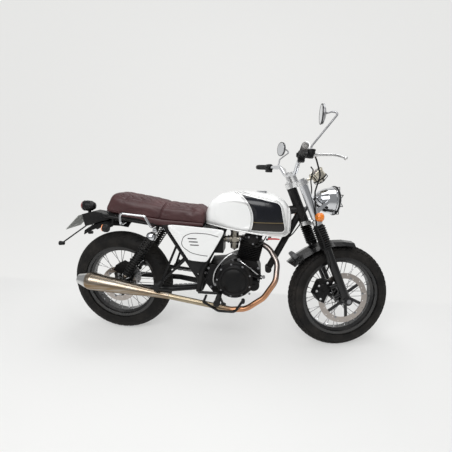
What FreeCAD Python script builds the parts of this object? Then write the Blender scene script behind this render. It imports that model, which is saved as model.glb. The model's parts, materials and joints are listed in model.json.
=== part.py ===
import FreeCAD, Part
import math
import os
import Sketcher

V = FreeCAD.Vector
os.makedirs("parts", exist_ok=True)
doc = FreeCAD.newDocument("CafeRacer")
sheet = doc.addObject("Spreadsheet::Sheet", "Sizes")
aliases = []


# The sheet of named sizes, in millimetres and degrees

def name_sizes(values):
    """Adds a group of named sizes to the sheet, one row each."""
    for word, number in values.items():
        aliases.append(word)
        row = len(aliases)
        sheet.set(f"A{row}", word)
        sheet.set(f"B{row}", str(number))
        sheet.setAlias(f"B{row}", word)
    sheet.recompute()


class NamedSizes:
    """Reads a named size from the sheet as a plain number."""

    def __getattr__(self, word):
        return float(sheet.get(word))


size = NamedSizes()

running_gear_sizes = {
    # running gear, as the side view is dimensioned with the bike upright
    "wheelbase": 1320,
    "rake": 23.5,
    "trail": 95,
    "rear_tyre_radius": 316,
    "rear_tyre_section": 61,
    "front_tyre_radius": 301,
    "front_tyre_section": 53,
    # the height of the saddle's front, from which the seat, its rails and the tank are set
    "rail_front_height": 676,
    # how the bike is parked
    "parked_lean": 8,
    "parked_steer": 14,
    # clearances
    "soft_gap": 0.3,
    "running_gap": 0.05,
    "cut_overrun": 2,
}
name_sizes(running_gear_sizes)


# Shapes

def mirrored(shape):
    """The same shape on the other side of the bike's middle plane."""
    return shape.mirror(V(0, 0, 0), V(0, 1, 0))


def both_sides(shape):
    return Part.makeCompound([shape, mirrored(shape)])


def fused(shapes):
    """One solid of several that run into each other."""
    first, *others = shapes
    return first.fuse(others).removeSplitter()


def largest(shape):
    """The biggest solid that a cut leaves, without its slivers."""
    return max(shape.Solids, key=lambda solid: solid.Volume)


def rod(start, end, radius):
    """A straight round bar from one point to another."""
    along = end - start
    return Part.makeCylinder(radius, along.Length, start, along)


def ring(centre, along, outer_radius, inner_radius, length):
    """A washer or sleeve that starts at a centre and runs along a direction."""
    whole = Part.makeCylinder(outer_radius, length, centre, along)
    return whole.cut(Part.makeCylinder(inner_radius, length, centre, along))


def smooth_path(points, bend, run_share=0.48):
    """Straight runs joined by tangent arcs, each of the bend radius where the runs leave room for it."""
    edges = []
    start = points[0]
    for before, corner, after in zip(points, points[1:], points[2:]):
        into = (corner - before).normalize()
        onward = (after - corner).normalize()
        half_turn = into.getAngle(onward) / 2
        room = run_share * min((corner - before).Length, (after - corner).Length)
        reach = min(bend * math.tan(half_turn), room)
        radius = reach / math.tan(half_turn)
        inside = (onward - into).normalize()
        arc_start = corner - into * reach
        arc_end = corner + onward * reach
        arc_middle = corner + inside * (radius / math.cos(half_turn) - radius)
        if (arc_start - start).Length > size.running_gap:
            edges.append(Part.LineSegment(start, arc_start).toShape())
        edges.append(Part.Arc(arc_start, arc_middle, arc_end).toShape())
        start = arc_end
    edges.append(Part.LineSegment(start, points[-1]).toShape())
    return Part.Wire(edges)


def tube(points, radius, bend):
    """A solid bar bent along a path."""
    path = smooth_path(points, bend)
    along = points[1] - points[0]
    section = Part.Wire(Part.makeCircle(radius, points[0], along))
    return path.makePipeShell([section], True, False)


def slab(outline, depth):
    """A flat outline, given as points in one plane, carried along a depth."""
    return Part.Face(Part.makePolygon(outline + outline[:1])).extrude(depth)


def turned(outline, centre, along):
    """A closed outline turned once around an axis."""
    face = Part.Face(Part.makePolygon(outline + outline[:1]))
    return face.revolve(centre, along, 360)


def turned_along(profile, base, along):
    """Turns (distance, radius) pairs around a line from its base; the solid is closed on the line."""
    along = V(along).normalize()
    side = along.cross(V(0, 1, 0))
    if side.Length < size.running_gap:
        side = V(1, 0, 0)
    side.normalize()
    corners = [base + along * profile[0][0]]
    corners += [base + along * distance + side * radius for distance, radius in profile]
    corners += [base + along * profile[-1][0]]
    return turned(corners, base, along)


def oval_wire(centre, across, up, half_width, half_height, squareness, count=16):
    """A closed curve between an ellipse and a rectangle, through points given by its formula."""
    corners = []
    for step in range(count):
        angle = 2 * math.pi * step / count
        cosine = math.cos(angle)
        sine = math.sin(angle)
        right = math.copysign(abs(cosine) ** (2 / squareness), cosine)
        top = math.copysign(abs(sine) ** (2 / squareness), sine)
        corners.append(centre + across * (half_width * right) + up * (half_height * top))
    curve = Part.BSplineCurve()
    curve.interpolate(corners, PeriodicFlag=True)
    return Part.Wire(curve.toShape())


def loft(wires):
    return Part.makeLoft(wires, True, False)


ACROSS = V(0, 1, 0)
FORWARD = V(1, 0, 0)
UP = V(0, 0, 1)


# Features of the document

def feature(name, shape):
    """A sub-part whose shape is worked out here from the sheet."""
    made = doc.addObject("Part::Feature", name)
    made.Label = name
    made.Shape = shape
    return made


def bound(kind, name, **expressions):
    """A Part primitive whose sizes are bound to the sheet; the underscore in a word stands for a dot."""
    made = doc.addObject(f"Part::{kind}", name)
    for word, expression in expressions.items():
        made.setExpression(word.replace("_", "."), expression)
    return made


def value(expression):
    return float(sheet.evalExpression(expression.replace("Sizes.", "")))


def sketched(body, plane_role, name, outline):
    """A closed sketch of straight lines whose corners are bound to the sheet."""
    sketch = body.newObject("Sketcher::SketchObject", name)
    plane = [item for item in body.Origin.OriginFeatures if item.Role == plane_role][0]
    sketch.AttachmentSupport = (plane, [""])
    sketch.MapMode = "FlatFace"
    corners = [V(value(x), value(y), 0) for x, y in outline]
    count = len(corners)
    for index, corner in enumerate(corners):
        sketch.addGeometry(Part.LineSegment(corner, corners[(index + 1) % count]), False)
    for index in range(count):
        sketch.addConstraint(Sketcher.Constraint("Coincident", index, 2, (index + 1) % count, 1))
    for index, (x, y) in enumerate(outline):
        for axis, expression, now in (("DistanceX", x, corners[index].x),
                                      ("DistanceY", y, corners[index].y)):
            row = sketch.addConstraint(Sketcher.Constraint(axis, -1, 1, index, 1, now))
            sketch.setExpression(f"Constraints[{row}]", expression)
    return sketch


def revolved_body(name, outline):
    """A body turned around its own Z axis from (radius, height) corners."""
    body = doc.addObject("PartDesign::Body", name)
    sketch = sketched(body, "XZ_Plane", f"{name}_outline", outline)
    turn = body.newObject("PartDesign::Revolution", f"{name}_turn")
    turn.Profile = sketch
    turn.ReferenceAxis = (sketch, ["V_Axis"])
    turn.Angle = 360
    return body


# The steering geometry and where each group of pieces stands

rake_angle = math.radians(size.rake)
steer_base = V(size.wheelbase + size.trail, 0, 0)
steer_up = V(-math.sin(rake_angle), 0, math.cos(rake_angle))
steer_out = V(math.cos(rake_angle), 0, math.sin(rake_angle))
rear_axle = V(0, 0, size.rear_tyre_radius)
front_axle = V(size.wheelbase, 0, size.front_tyre_radius)
axle_rise = (front_axle - steer_base).dot(steer_up)
fork_offset = (front_axle - steer_base).dot(steer_out)


def on_fork(out, across, rise):
    """A point given by its distance in front of the steering axis, to the left, and up along the axis."""
    return steer_base + steer_out * out + ACROSS * across + steer_up * rise


def turn_about(base, axis, degrees):
    """A placement that turns about a line through a point."""
    spin = FreeCAD.Placement(V(0, 0, 0), FreeCAD.Rotation(axis, degrees))
    move = FreeCAD.Placement(base, FreeCAD.Rotation())
    return move.multiply(spin).multiply(move.inverse())


steer_turn = turn_about(steer_base, steer_up, size.parked_steer)


# where the corners of a tyre's section lie on its round, in degrees from the middle of the tread
tread_corner_angles = (-98, -68, -34, 0, 34, 68, 98)
cavity_corner_angles = (72, 0, -72)


def tyre_low_point(placement, centre, axis, radius, section):
    """How high a tyre's lowest point is, over the corners of its section."""
    middle = placement.multVec(centre)
    direction = placement.Rotation.multVec(axis)
    steepness = math.sqrt(1 - direction.z ** 2)
    heights = []
    for angle in tread_corner_angles:
        out = radius - section + section * math.cos(math.radians(angle))
        across = section * math.sin(math.radians(angle))
        heights.append(middle.z + across * direction.z - out * steepness)
    return min(heights)


def leaned(pitch):
    """The parked lean to the left, with the nose pitched by a small angle."""
    lean = FreeCAD.Rotation(FORWARD, -size.parked_lean)
    return FreeCAD.Placement(V(0, 0, 0), lean.multiply(FreeCAD.Rotation(ACROSS, pitch)))


def tyre_heights(pitch):
    stand = leaned(pitch)
    turned_front = stand.multiply(steer_turn)
    rear = tyre_low_point(stand, rear_axle, ACROSS, size.rear_tyre_radius, size.rear_tyre_section)
    front = tyre_low_point(turned_front, front_axle, ACROSS, size.front_tyre_radius, size.front_tyre_section)
    return rear, front


def parked_placement():
    """Finds the pitch at which both tyres touch the ground, by halving the interval."""
    low, high = -size.parked_lean, size.parked_lean
    while high - low > 1e-9:
        middle = (low + high) / 2
        rear, front = tyre_heights(middle)
        if front > rear:
            low = middle
        else:
            high = middle
    stand = leaned(low)
    stand.Base = V(0, 0, -tyre_heights(low)[0])
    return stand


parked = parked_placement()
parked_turned = parked.multiply(steer_turn)
wheel_lie = FreeCAD.Rotation(FORWARD, -90)
rear_wheel_place = parked.multiply(FreeCAD.Placement(rear_axle, wheel_lie))
front_wheel_place = parked_turned.multiply(FreeCAD.Placement(front_axle, wheel_lie))
nodes = {}


def stands(obj, placement):
    """Lists a finished sub-part as a node, under its label, with the place of its group."""
    obj.Placement = placement
    nodes[obj.Label] = obj


# Wheels, drawn with the axle along Z and the bike's left at +Z

wheel_sizes = {
    "bead_radius": 218,
    "rim_flange": 12,
    "rim_wall": 5,
    "rim_well_depth": 15,
    "rear_rim_half": 44,
    "front_rim_half": 38,
    "tyre_wall": 13,
    "spoke_radius": 1.8,
    "spokes_per_wheel": 36,
    "spoke_sweep": 38,
    "hub_radius": 27,
    "hub_flange_radius": 43,
    "hub_flange_half": 33,
    "hub_flange_wall": 6,
    "rear_hub_half": 70,
    "front_hub_half": 60,
    "axle_radius": 8,
}
name_sizes(wheel_sizes)


def make_tyre(side):
    """A hollow ring, its section's corners on a circle, open at the bead and notched for the rim."""
    middle = f"Sizes.{side}_tyre_radius - Sizes.{side}_tyre_section"
    outside = f"Sizes.{side}_tyre_section"
    inside = f"(Sizes.{side}_tyre_section - Sizes.tyre_wall)"
    tread = [(f"{middle} + {outside} * cos({angle})", f"{outside} * sin({angle})")
             for angle in tread_corner_angles]
    cavity = [(f"{middle} + {inside} * cos({angle})", f"{inside} * sin({angle})")
              for angle in cavity_corner_angles]
    flange = "Sizes.bead_radius + Sizes.rim_flange + Sizes.soft_gap"
    bead = "Sizes.bead_radius"
    half = f"Sizes.{side}_rim_half"
    left = [(flange, f"{half} + Sizes.tyre_wall"), (flange, half), (bead, half),
            (bead, f"{half} - Sizes.tyre_wall")]
    right = [(radius, f"-({height})") for radius, height in reversed(left)]
    return revolved_body(f"{side}_tyre", tread + left + cavity + right)


def make_rim(side):
    """A rolled rim with flanges, bead seats and a well."""
    half = f"Sizes.{side}_rim_half"
    flange = "Sizes.bead_radius + Sizes.rim_flange"
    seat = "Sizes.bead_radius - Sizes.soft_gap"
    well = "Sizes.bead_radius - Sizes.rim_well_depth"
    wall = "Sizes.rim_wall"
    right = [
        (flange, f"-{half} - {wall}"), (flange, f"-{half} - Sizes.soft_gap"),
        (seat, f"-{half} - Sizes.soft_gap"), (seat, f"-{half} / 1.6"), (well, f"-{half} / 2.4"),
    ]
    left = [(radius, height.replace("-", "", 1).replace(" - ", " + ")) for radius, height in reversed(right)]
    inner = [
        (f"{seat} - {wall}", f"{half} + {wall}"), (f"{seat} - {wall}", f"{half} / 1.6"),
        (f"{well} - {wall}", f"{half} / 2.2"), (f"{well} - {wall}", f"-{half} / 2.2"),
        (f"{seat} - {wall}", f"-{half} / 1.6"), (f"{seat} - {wall}", f"-{half} - {wall}"),
    ]
    return revolved_body(f"{side}_rim", right + left + inner)


def make_hub(side):
    """A barrel with a flange at each side for the spokes, bored for the axle."""
    half = f"Sizes.{side}_hub_half"
    bore = "Sizes.axle_radius + Sizes.running_gap"
    barrel = "Sizes.hub_radius"
    flange = "Sizes.hub_flange_radius"
    out = "Sizes.hub_flange_half"
    into = "Sizes.hub_flange_half - Sizes.hub_flange_wall"
    outline = [
        (bore, f"-{half}"), (barrel, f"-{half}"), (barrel, f"-({out})"), (flange, f"-({out})"),
        (flange, f"-({into})"), (barrel, f"-({into})"), (barrel, into), (flange, into),
        (flange, out), (barrel, out), (barrel, half), (bore, half),
    ]
    return revolved_body(f"{side}_hub", outline)


def make_spokes(side):
    """Spokes that leave the hub flanges by turns forwards and backwards and meet the rim's well."""
    count = int(size.spokes_per_wheel)
    rim_radius = size.bead_radius - size.rim_well_depth - size.rim_wall / 2
    hub_radius = size.hub_flange_radius - size.hub_flange_wall / 2
    half = getattr(size, f"{side}_rim_half")
    spokes = []
    for index in range(count):
        to_left = 1 if index % 2 == 0 else -1
        swept = 1 if index % 4 < 2 else -1
        rim_angle = math.radians(360 * (index + 0.5) / count)
        hub_angle = rim_angle + math.radians(swept * size.spoke_sweep)
        foot_height = to_left * (size.hub_flange_half - size.hub_flange_wall / 2)
        head_height = to_left * half / 4
        foot = V(hub_radius * math.cos(hub_angle), hub_radius * math.sin(hub_angle), foot_height)
        head = V(rim_radius * math.cos(rim_angle), rim_radius * math.sin(rim_angle), head_height)
        spokes.append(rod(foot, head, size.spoke_radius))
    return feature(f"{side}_spokes", Part.makeCompound(spokes))


disc_sizes = {
    "disc_thickness": 4,
    "front_disc_radius": 145,
    "front_disc_offset": 66,
    "rear_disc_radius": 110,
    "rear_disc_offset": 74,
    "disc_band": 32,
    "disc_bolt_circle": 34,
    "disc_arms": 6,
    "disc_arm_width": 17,
    "disc_holes": 20,
    "disc_hole_radius": 3.6,
    "sprocket_pitch_radius": 87,
    "sprocket_thickness": 6,
    "sprocket_teeth": 40,
    "tooth_depth": 5,
    "chain_line": 77,
    "chain_roller_radius": 4.2,
}
name_sizes(disc_sizes)


def make_disc(side):
    """A brake disc: a steel band on a carrier of slanted arms, on the hub's right end."""
    radius = getattr(size, f"{side}_disc_radius")
    offset = getattr(size, f"{side}_disc_offset")
    thickness = size.disc_thickness
    base = V(0, 0, -offset - thickness / 2)
    band = ring(base, UP, radius, radius - size.disc_band, thickness)
    collar_radius = size.disc_bolt_circle + size.disc_arm_width / 2
    collar = ring(base, UP, collar_radius, size.hub_radius - size.rim_wall, thickness)
    arms = []
    for index in range(int(size.disc_arms)):
        angle = math.radians(360 * index / size.disc_arms)
        outer_angle = angle + math.radians(size.spoke_sweep / 2)
        inner = V(math.cos(angle), math.sin(angle), 0) * size.disc_bolt_circle
        outer = V(math.cos(outer_angle), math.sin(outer_angle), 0) * (radius - size.disc_band / 2)
        side_step = (outer - inner).cross(UP).normalize() * (size.disc_arm_width / 2)
        outline = [inner + base - side_step, outer + base - side_step, outer + base + side_step,
                   inner + base + side_step]
        arms.append(slab(outline, UP * thickness))
    holes = [Part.makeCylinder(size.hub_radius - size.rim_wall, thickness, base, UP)]
    for index in range(int(size.disc_holes)):
        angle = math.radians(360 * (index + 0.5) / size.disc_holes)
        rise = radius - size.disc_band * (0.3 if index % 2 else 0.68)
        holes.append(Part.makeCylinder(size.disc_hole_radius, thickness,
                                       base + V(math.cos(angle), math.sin(angle), 0) * rise, UP))
    return fused([band, collar] + arms).cut(holes)


def disc_seat(side):
    """The hub's right end, stepped to carry the disc."""
    half = getattr(size, f"{side}_hub_half")
    offset = getattr(size, f"{side}_disc_offset")
    inner = size.axle_radius + size.running_gap
    flange_radius = size.disc_bolt_circle + size.disc_arm_width / 2
    face = -offset + size.disc_thickness / 2
    boss = ring(V(0, 0, face), UP, flange_radius, inner, size.hub_flange_wall)
    neck = ring(V(0, 0, -half), UP, size.hub_radius, inner, half - size.hub_flange_half)
    if -half > face:
        neck = ring(V(0, 0, face), UP, size.hub_radius, inner, -face - size.hub_flange_half)
    return fused([boss, neck])


def make_sprocket():
    """The rear sprocket's toothed plate, with a valley and a flat tip for each tooth."""
    tip = size.sprocket_pitch_radius - size.chain_roller_radius - size.rim_wall / 2
    count = int(size.sprocket_teeth)
    outline = []
    for index in range(count):
        for share, radius in ((0.0, tip - size.tooth_depth), (0.38, tip), (0.62, tip)):
            angle = 2 * math.pi * (index + share) / count
            outline.append(V(radius * math.cos(angle), radius * math.sin(angle),
                             size.chain_line - size.sprocket_thickness / 2))
    return slab(outline, UP * size.sprocket_thickness)


for side, place in (("front", front_wheel_place), ("rear", rear_wheel_place)):
    stands(make_tyre(side), place)
    wheel_parts = [make_rim(side), make_hub(side), make_spokes(side)]
    wheel_parts.append(feature(f"{side}_disc_seat", disc_seat(side)))
    if side == "rear":
        sprocket = make_sprocket()
        carrier = Part.makeCylinder(size.hub_flange_radius + size.rim_well_depth / 2,
                                    size.chain_line - size.hub_flange_half,
                                    V(0, 0, size.hub_flange_half), UP)
        bore = Part.makeCylinder(size.axle_radius + size.running_gap, size.rear_tyre_radius, V(0, 0, 0), UP)
        wheel_parts.append(feature("rear_sprocket", fused([sprocket, carrier]).cut(bore)))
    wheel = doc.addObject("Part::MultiFuse", f"{side}_wheel")
    wheel.Shapes = wheel_parts
    stands(wheel, place)
    stands(feature(f"{side}_disc", make_disc(side)), place)


# Fork, yokes and steering stem

fork_sizes = {
    "leg_spread": 100,
    "fork_tube_radius": 17,
    "slider_radius": 24,
    "slider_top": 632,
    "gaiter_top": 772,
    "gaiter_radius": 28,
    "gaiter_neck_radius": 22,
    "gaiter_ribs": 12,
    "lower_yoke": 782,
    "upper_yoke": 1006,
    "yoke_depth": 24,
    "yoke_boss_radius": 29,
    "fork_tube_top": 1040,
    "stem_radius": 13,
    "axle_lug_drop": 26,
    "axle_half_length": 130,
    "head_tube_radius": 27,
    "head_gap": 1,
    "axle_head_radius": 13,
    "axle_head_depth": 9,
    "handlebar_radius": 11,
    "riser_spacing": 45,
    "riser_height": 46,
    "riser_radius": 15,
}
name_sizes(fork_sizes)


def yoke(rise, boss_radius):
    """A bridge that clamps both fork legs and holds the stem."""
    base = on_fork(0, 0, rise)
    shapes = [Part.makeCylinder(boss_radius, size.yoke_depth, base, steer_up)]
    half = size.yoke_depth / 2
    for sign in (1, -1):
        leg_y = sign * size.leg_spread
        boss = Part.makeCylinder(boss_radius, size.yoke_depth, on_fork(fork_offset, leg_y, rise), steer_up)
        corner = [on_fork(-half, 0, rise), on_fork(fork_offset - half, leg_y, rise),
                  on_fork(fork_offset + half, leg_y, rise), on_fork(fork_offset + half, 0, rise)]
        shapes += [boss, slab(corner, steer_up * size.yoke_depth)]
    return fused(shapes)


riser_out = fork_offset - size.yoke_boss_radius / 2
riser_top = size.upper_yoke + size.yoke_depth + size.riser_height


def leg_line(start, end, radius, side=1):
    return rod(on_fork(fork_offset, side * size.leg_spread, start),
               on_fork(fork_offset, side * size.leg_spread, end), radius)


def make_yokes():
    """Both yokes on their stem, with the two risers that clamp the handlebar."""
    stem = rod(on_fork(0, 0, size.lower_yoke), on_fork(0, 0, size.upper_yoke + size.yoke_depth),
               size.stem_radius)
    shapes = [yoke(size.lower_yoke, size.yoke_boss_radius), yoke(size.upper_yoke, size.yoke_boss_radius),
              stem]
    for sign in (1, -1):
        foot = on_fork(riser_out, sign * size.riser_spacing, size.upper_yoke + size.yoke_depth / 2)
        head = on_fork(riser_out, sign * size.riser_spacing, riser_top + size.riser_radius)
        shapes.append(rod(foot, head, size.riser_radius))
    whole = fused(shapes)
    tubes = [leg_line(size.slider_top, size.fork_tube_top, size.fork_tube_radius, side) for side in (1, -1)]
    bar = rod(on_fork(riser_out, -size.leg_spread, riser_top),
              on_fork(riser_out, size.leg_spread, riser_top),
              size.handlebar_radius)
    return whole.cut(tubes + [bar])


stands(feature("yokes", make_yokes()), parked_turned)
fork_tube = leg_line(size.slider_top + size.soft_gap, size.fork_tube_top, size.fork_tube_radius)
stands(feature("fork_tubes", both_sides(fork_tube)), parked_turned)


def make_gaiter():
    """A rubber bellows round the leg, between the slider and the lower yoke."""
    length = size.gaiter_top - size.slider_top
    ribs = int(size.gaiter_ribs)
    inner = size.fork_tube_radius + size.soft_gap
    profile = [(0, inner), (0, size.gaiter_neck_radius)]
    for index in range(ribs):
        profile.append(((index + 0.5) * length / ribs, size.gaiter_radius))
        profile.append(((index + 1) * length / ribs, size.gaiter_neck_radius))
    profile.append((length, inner))
    base = on_fork(fork_offset, size.leg_spread, size.slider_top + size.soft_gap)
    corners = [base + steer_up * along + steer_out * radius for along, radius in profile]
    return turned(corners, base, steer_up)


stands(feature("fork_gaiters", both_sides(make_gaiter())), parked_turned)


axle_lug_radius = size.slider_radius + size.disc_thickness / 2


def make_slider():
    """The lower leg with its axle lug."""
    lug_radius = axle_lug_radius
    leg = leg_line(axle_rise - size.axle_lug_drop / 2, size.slider_top, size.slider_radius)
    lug_centre = on_fork(fork_offset, size.leg_spread, axle_rise)
    lug = Part.makeCylinder(lug_radius, 2 * lug_radius, lug_centre - ACROSS * lug_radius, ACROSS)
    bore = Part.makeCylinder(size.axle_radius, 4 * lug_radius, lug_centre - ACROSS * 2 * lug_radius, ACROSS)
    return fused([leg, lug]).cut(bore)


slider = make_slider()
lug_shapes = []
for rise in (axle_rise + size.axle_lug_drop * 1.6, axle_rise + size.axle_lug_drop * 4):
    lug_shapes.append(rod(on_fork(fork_offset, -size.leg_spread, rise),
                          on_fork(fork_offset - size.slider_radius * 2.6, -size.leg_spread, rise),
                          size.axle_head_radius))
right_slider = fused([mirrored(slider)] + lug_shapes)
stands(feature("fork_sliders", Part.makeCompound([slider, right_slider])), parked_turned)
front_spindle = rod(front_axle - ACROSS * size.axle_half_length, front_axle + ACROSS * size.axle_half_length,
                    size.axle_radius - size.running_gap / 2)
axle_heads = []
for sign in (1, -1):
    start = front_axle + ACROSS * sign * (size.leg_spread + axle_lug_radius)
    axle_heads.append(rod(start, start + ACROSS * sign * size.axle_head_depth, size.axle_head_radius))
stands(feature("front_axle", fused([front_spindle] + axle_heads)), parked_turned)


# Handlebar, grips and controls

bar_sizes = {
    "bar_half_width": 428,
    "bar_rise": 82,
    "bar_sweep": 82,
    "bar_bend": 55,
    "grip_length": 122,
    "grip_radius": 16,
    "bar_end_radius": 15,
    "bar_end_length": 18,
    "switch_length": 42,
    "switch_radius": 22,
    "lever_length": 165,
    "lever_radius": 5.5,
}
name_sizes(bar_sizes)
bar_centre = on_fork(riser_out, 0, riser_top)
# shares of the bar's half width, sweep back and rise
bar_path_shares = [(0.0, 0.0, 0.0), (0.19, 0.0, 0.0), (0.37, 0.12, 0.70), (0.62, 0.45, 0.80),
                   (1.0, 1.0, 1.0)]


def bar_point(across, back, rise):
    return bar_centre + V(-back * size.bar_sweep, across * size.bar_half_width, rise * size.bar_rise)


bar_corners = [bar_point(*shares) for shares in bar_path_shares]


def make_handlebar():
    """One bent tube from end to end, with a weight at each end."""
    left = bar_corners[1:]
    right = [V(corner.x, -corner.y, corner.z) for corner in reversed(left)]
    bar = tube(right + left, size.handlebar_radius, size.bar_bend)
    ends = []
    for corners in (right, list(reversed(left))):
        outward = (corners[0] - corners[1]).normalize()
        ends.append(rod(corners[0], corners[0] + outward * size.bar_end_length, size.bar_end_radius))
    return fused([bar] + ends)


stands(feature("handlebar", make_handlebar()), parked_turned)
bar_end = bar_corners[-1]
bar_inward = (bar_corners[-2] - bar_end).normalize()


def bar_ring(start, length, radius):
    """A sleeve on the straight outer stretch of the left bar, measured from its end."""
    return ring(bar_end + bar_inward * start, bar_inward, radius, size.handlebar_radius + size.running_gap,
                length)


grip = bar_ring(size.soft_gap, size.grip_length, size.grip_radius)
stands(feature("grips", both_sides(grip)), parked_turned)

lever_sizes = {
    "lever_reach": 46,
    "lever_forward": 100,
    "lever_out": 135,
    "lever_drop": 22,
    "reservoir_radius": 20,
    "reservoir_height": 26,
}
name_sizes(lever_sizes)
lever_pivot = bar_end + bar_inward * (size.grip_length + size.switch_length) + FORWARD * size.lever_reach
# shares of the lever's reach forward, outward and down, from its pivot to its knob
lever_shares = [(0.0, 0.0, 0.0), (0.30, 0.18, -0.25), (0.75, 0.62, 0.10), (1.0, 1.0, 1.0)]


def make_controls():
    """Switch housing, lever perch and the lever that runs out in front of the grip."""
    housing = bar_ring(size.grip_length + 2 * size.soft_gap, size.switch_length, size.switch_radius)
    perch_start = bar_end + bar_inward * (size.grip_length + size.switch_length / 2)
    perch = rod(perch_start, lever_pivot, size.lever_radius * 1.6)
    perch = perch.cut(rod(bar_corners[-2], bar_end, size.handlebar_radius + size.running_gap))
    corners = [lever_pivot + V(ahead * size.lever_forward, out * size.lever_out, -down * size.lever_drop)
               for ahead, out, down in lever_shares]
    lever = tube(corners, size.lever_radius, size.lever_radius * 5)
    knob = Part.makeSphere(size.lever_radius * 1.5, corners[-1])
    elbow = Part.makeSphere(size.lever_radius * 1.7, lever_pivot)
    return fused([housing, perch, lever, knob, elbow])


left_controls = make_controls()
right_controls = mirrored(left_controls)
reservoir_centre = V(lever_pivot.x, -lever_pivot.y, lever_pivot.z)
reservoir = Part.makeCylinder(size.reservoir_radius, size.reservoir_height, reservoir_centre, UP)
right_controls = fused([right_controls, reservoir])
stands(feature("hand_controls", Part.makeCompound([left_controls, right_controls])), parked_turned)

mirror_sizes = {
    "mirror_stem_radius": 4.5,
    "mirror_radius": 44,
    "mirror_thickness": 10,
    "mirror_dome": 8,
    "mirror_toe": 14,
    "right_mirror_height": 190,
    "right_mirror_out": 62,
    "right_mirror_forward": 95,
    "left_mirror_height": 126,
    "left_mirror_out": 62,
    "left_mirror_forward": 86,
}
name_sizes(mirror_sizes)
# shares of a mirror's reach forward, outward and upward, from its foot on the lever's perch
mirror_stem_shares = {
    "right": [(0.0, 0.0, 0.0), (0.0, 0.0, 0.24), (1.0, 1.0, 0.97), (0.74, 0.72, 1.02), (0.42, 0.42, 0.98)],
    "left": [(0.0, 0.0, 0.0), (0.12, 0.0, 0.42), (1.0, 0.80, 0.84), (0.84, 0.90, 0.98), (0.45, 0.75, 1.0)],
}


def make_mirror(side, across):
    """A bent stem that ends in the domed back of a round mirror, which faces the rider."""
    foot = V(lever_pivot.x, across * lever_pivot.y, lever_pivot.z)
    forward = getattr(size, f"{side}_mirror_forward")
    outward = across * getattr(size, f"{side}_mirror_out")
    upward = getattr(size, f"{side}_mirror_height")
    corners = [foot + V(ahead * forward, out * outward, high * upward)
               for ahead, out, high in mirror_stem_shares[side]]
    stem = tube(corners, size.mirror_stem_radius, size.mirror_stem_radius * 3)
    toe = math.radians(size.mirror_toe)
    facing = V(-math.cos(toe), -across * math.sin(toe), 0)
    profile = [(-size.mirror_dome, size.mirror_radius / 2), (0, size.mirror_radius),
               (size.mirror_thickness, size.mirror_radius)]
    return fused([stem, turned_along(profile, corners[-1], facing)])


right_mirror = largest(make_mirror("right", -1).cut(right_controls))
left_mirror = largest(make_mirror("left", 1).cut(left_controls))
stands(feature("mirrors", Part.makeCompound([left_mirror, right_mirror])), parked_turned)


# Headlight, instrument and front indicators

lamp_sizes = {
    "lamp_radius": 80,
    "lamp_depth": 128,
    "lamp_wall": 4,
    "lamp_rise": 842,
    "lamp_out": 205,
    "lens_thickness": 9,
    "ear_height": 34,
    "ear_wall": 4,
    "cover_wall": 6,
    "cover_gap": 6,
    "clock_radius": 38,
    "clock_depth": 58,
    "clock_rise": 1006,
    "clock_out": 170,
    "clock_tilt": 40,
    "indicator_radius": 23,
    "indicator_depth": 34,
    "indicator_reach": 52,
    "indicator_stem_radius": 6,
    "front_indicator_rise": 824,
}
name_sizes(lamp_sizes)
lamp_face = on_fork(size.lamp_out, 0, size.lamp_rise)
# shares of the bowl's depth and radius, from the rim back
bowl_shares = [(0.0, 1.0), (0.12, 1.0), (0.14, 0.95), (0.45, 0.86), (0.72, 0.66), (0.90, 0.40), (1.0, 0.16)]


def make_headlight():
    """A hollow chrome bowl with its rim, held by ears on the covers round the upper fork legs."""
    outer = [(share_back * size.lamp_depth, share_out * size.lamp_radius) for share_back,
             share_out in bowl_shares]
    bowl = turned_along(outer, lamp_face, -FORWARD)
    inner = [(-size.cut_overrun, size.lamp_radius - size.lamp_wall)]
    inner += [(back * size.lamp_depth, out * size.lamp_radius - size.lamp_wall) for back,
              out in bowl_shares[1:-2]]
    cavity = turned_along(inner, lamp_face, -FORWARD)
    shell = bowl.cut(cavity)
    ears = []
    for sign in (1, -1):
        leg_front = on_fork(fork_offset + size.fork_tube_radius, sign * size.leg_spread, size.lamp_rise)
        lamp_side = V(lamp_face.x - size.lamp_depth * 0.4, sign * size.lamp_radius * 0.8, lamp_face.z)
        half = UP * size.ear_height / 2
        inset = ACROSS * -sign * size.ear_wall
        outline = [leg_front - half, lamp_side - half / 2, lamp_side + half / 2, leg_front + half]
        ears.append(slab(outline, inset))
        ears.append(leg_line(size.lower_yoke + size.yoke_depth + size.cover_gap,
                             size.upper_yoke - size.cover_gap,
                             size.fork_tube_radius + size.cover_wall, sign))
    whole = fused([shell] + ears)
    legs = [leg_line(size.lower_yoke, size.upper_yoke, size.fork_tube_radius + size.running_gap, side)
            for side in (1, -1)]
    return whole.cut(legs + [cavity])


headlight = make_headlight()
stands(feature("headlight", headlight), parked_turned)


def make_lens():
    """A domed glass that closes the bowl."""
    radius = size.lamp_radius - size.lamp_wall - size.soft_gap
    profile = [(-size.lens_thickness, 0), (-size.lens_thickness * 0.8, radius / 2), (0, radius),
               (size.lens_thickness / 2, radius)]
    return turned_along(profile, lamp_face, -FORWARD)


stands(feature("headlight_lens", make_lens()), parked_turned)
clock_centre = on_fork(size.clock_out, 0, size.clock_rise)
clock_tilt = math.radians(size.clock_tilt)
clock_facing = V(-math.sin(clock_tilt), 0, math.cos(clock_tilt))


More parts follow.
